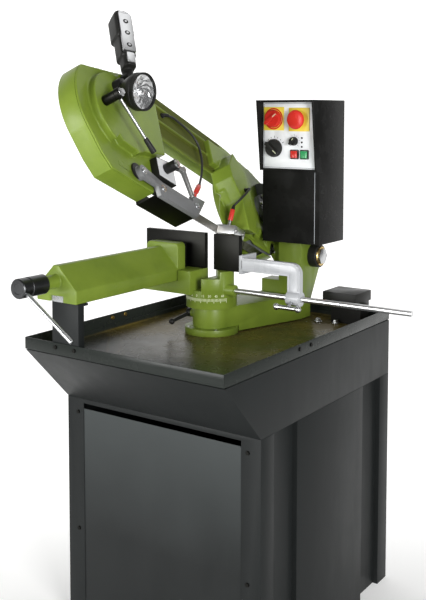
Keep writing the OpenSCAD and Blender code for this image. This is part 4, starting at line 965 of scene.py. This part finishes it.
def panel():
    rounded("switch_plates", 0.0012)
    rounded("panel_plate", 0.0005)
    settle(frame_plate("panel_border", rounded_box(0.0815, 0.0885, 0.003),
                       rounded_box(0.0803, 0.0873, 0.002), on_panel(0.050, 1.234), 0, 0.0003),
           PLATE_GREY, "swivel")
    knob("main_switch", *MAIN_SWITCH, 0.1892, 0.025, 0.012, 38)
    knob("selector_knob", *SELECTOR, 0.1921, 0.025, 0.014, -40)
    knob("speed_knob", *SPEED_KNOB, 0.1921, 0.012, 0.012, 50)
    mushroom = [(0, 0), (0.017, 0), (0.017, 0.0105), (0.0235, 0.0118), (0.0255, 0.0138), (0.026, 0.0165),
                (0.0245, 0.0193), (0.020, 0.0212), (0.012, 0.0219), (0, 0.022)]
    stand_for(turned("stop_mushroom", mushroom, on_panel(*EMERGENCY_STOP, 0.1862)), "emergency_stop")
    for node, x in (("stop_button", 0.067), ("start_button", 0.098)):
        stand_for(cut_plate(node + "_cap", rounded_box(0.010, 0.010, 0.0018),
                            on_panel(x, BUTTON_HEIGHT, 0.1891), 0, 0.004, 0.0011), node)
        settle(frame_plate(node + "_bezel", rounded_box(0.0128, 0.0128, 0.0026),
                           rounded_box(0.0105, 0.0105, 0.002), on_panel(x, BUTTON_HEIGHT), 0, 0.0032),
               PLASTIC, "swivel")
    ring = [(0.0262, 0), (0.0295, 0), (0.0295, 0.0008), (0.0262, 0.0008)]
    settle(turned("switch_ring", ring, on_panel(*MAIN_SWITCH, 0.1895), ring=True), RED, "swivel")
    dial("selector_marks", SELECTOR, Radius=0.0285, Start=math.radians(30), Sweep=math.radians(120), Count=7,
         Every=3, Long=0.006, Short=0.0035, Width=0.0012)
    dial("speed_marks", SPEED_KNOB, Radius=0.0145, Start=math.radians(-45), Sweep=math.radians(270), Count=11,
         Every=5, Long=0.004, Short=0.0025, Width=0.0008)
    # A thin raised strip on the box's door edge, light grey as a painted highlight along the folded edge.
    settle(cut_plate("door_edge_highlight", rounded_box(0.0008, 0.0975, 0.0006), on_panel(0.1258, 1.0375, 0.2000),
                     0, 0.0008, 0.0003), PLATE_GREY, "swivel")


# Base and swivel
def pivot_fittings():
    """The cap, seal and nut on the near end of the pivot shaft."""
    place = axis_at((0.066, PIVOT.y, PIVOT.z), (1, 0, 0))
    cap = [(0, 0), (0.0325, 0), (0.0325, 0.0235), (0.031, 0.0255), (0.0285, 0.026), (0.0275, 0.0235),
           (0, 0.0235)]
    stand_for(turned("pivot_ring", cap, place, 64), "pivot_cap")
    seal = [(0.019, 0.0235), (0.0272, 0.0235), (0.0272, 0.0275), (0.026, 0.029), (0.019, 0.029)]
    settle(turned("pivot_seal", seal, place, 64, ring=True), BRASS, "swivel")
    corner = 0.0236
    hexagon = [(corner * math.cos(math.pi * k / 3), corner * math.sin(math.pi * k / 3)) for k in range(6)]
    settle(cut_plate("pivot_nut", hexagon, place, 0.0285, 0.0342, 0.0011), STEEL, "swivel")


def graduated_ring():
    """Graduations on the table's ring, with plain numerals at every 15 degrees."""
    ring = UPRIGHT_MARKS.grow(marks("ring_marks", [], []), PALE, Radius=0.0671, Start=math.radians(-170),
                              Sweep=math.radians(150), Count=51, Every=5, Long=0.0115, Short=0.0075,
                              Width=0.0011, Proud=0.0006)
    ring.data.transform(Matrix.Translation(SPINDLE + Vector((0, 0, 0.8170))))
    settle(ring, None, "stand")
    words, places = [], []
    for degrees in range(-75, 61, 15):
        t = math.radians(-90 + degrees)
        out = Vector((math.cos(t), math.sin(t), 0))
        turn = Matrix((Vector((-out.y, out.x, 0)), Vector((0, 0, 1)), out)).transposed().to_4x4()
        words.append(str(abs(degrees)))
        places.append(Matrix.Translation(SPINDLE + Vector((0, 0, 0.8235)) + out * 0.0672) @ turn)
    settle(lettering("ring_numerals", words, 0.0085, places), PALE, "stand")


def base_fastenings():
    up, radius, sheet_screw = Vector((0, 0, 1)), 0.0615, (0.0095, 0.0034, 0.5, 1.16)
    ring = [math.radians(a) for a in (45, 225, 315)]
    screws("flange_screws", SOCKET_HEAD, ZINC, "stand",
           [SPINDLE + Vector((radius * math.cos(a), radius * math.sin(a), 0.728)) for a in ring], up,
           0.010, 0.006)
    screws("tray_bolts", HEX_HEAD, STEEL, "stand",
           [Vector((x, y, 0.719)) for x, y in ((0.1675, 0.249), (0.118, 0.240))], up, 0.015, 0.009, 0.5, 1.5)
    screws("inner_rim_screws", CROSS_HEAD, BRASS, "stand",
           [Vector((-0.2858, y, 0.7505)) for y in (-0.161, -0.109)], Vector((1, 0, 0)), *sheet_screw)
    for node in ("cabinet_screws", "rim_screws"):
        places, aims = [], []
        for centre, size in islands(node):
            aim = Vector((0, -1, 0)) if size.y < size.x else Vector((math.copysign(1, centre.x), 0, 0))
            places.append(centre - aim * 0.0019)
            aims.append(aim)
        screws(node + "_heads", CROSS_HEAD, DARK_STEEL, "stand", places, aims, *sheet_screw, [node])


# Vise and stop
def stop_ribs():
    """Raised edges on the front of the stop's cast arm."""
    def edge(inset):
        right, left, low, top = 0.222 - inset, 0.186 + inset, 0.893 + inset, 0.926 - inset
        start, foot, radius = 0.052, 0.857, 0.026 - inset
        turns = [math.radians(t) for t in range(0, 91, 15)]
        bend = [(right - radius + radius * math.cos(t), top - radius + radius * math.sin(t)) for t in turns]
        return [(start, low), (left, low), (left, foot), (right, foot), *bend, (start, top)]

    settle(frame_plate("stop_ribs", edge(0.0012), edge(0.0062), on_panel(0, 0, -0.047), -0.0005, 0.0014),
           CAST_SILVER, "stop")


def vise_clamp():
    hub = [(0, 0), (0.021, 0), (0.023, 0.002), (0.023, 0.049), (0.0216, 0.0505), (0.0216, 0.0535),
           (0.023, 0.055), (0.023, 0.0775), (0.0212, 0.080), (0.0125, 0.080), (0.0115, 0.079), (0, 0.079)]
    stand_for(turned("clamp_hub_turned", hub, axis_at((-0.181, -0.521, 0.906), (0, -1, 0)), 64), "clamp_hub")
    rounded("clamp_lever", 0.0022, 3)


hose("front_hose", [(531, 250, 21.1), (531, 250, 28), (520, 250, 34), (503, 248, 39), (482, 242, 42),
                    (458, 234, 45), (432, 222, 47), (412, 204, 47), (402, 180, 45), (400, 150, 42),
                    (406, 118, 38), (414, 96, 35), (422, 79, 33), (429.9, 69.2, 33)], "bow", "guide")
hose("rear_hose", [(247, 108, 78.1), (247, 108, 88), (256, 102, 94), (268, 90, 93), (280, 76, 86),
                   (291, 62, 74), (300, 48.4, 58.2), (300, 39.6, 53.4)], "bow")
cast("bow_casting", 0.0021, 4, 0.32)
for node, width, segments in (
        ("blade_cover", 0.004, 2), ("vise_ram", 0.004, 3), ("saw_table", 0.003, 2), ("swivel_arm", 0.005, 3),
        ("pedestal", 0.002, 2), ("control_box", 0.004, 3), ("stop_bracket", 0.0025, 2), ("cabinet", 0.0012, 2),
        ("chip_tray", 0.001, 2), ("fixed_jaw", 0.001, 2), ("jaw_plate", 0.001, 2), ("coolant_pump", 0.002, 2),
        ("gearbox", 0.002, 2), ("tray_skirt", 0.001, 2), ("vise_post", 0.0008, 2), ("mitre_lever", 0.001, 2)):
    rounded(node, width, segments)
work_lamp()
grip()
tension_lever()
front_guide()
rear_guide_and_taps()
blade_teeth()
bow_fastenings()
panel()
pivot_fittings()
graduated_ring()
base_fastenings()
vise_clamp()
stop_ribs()
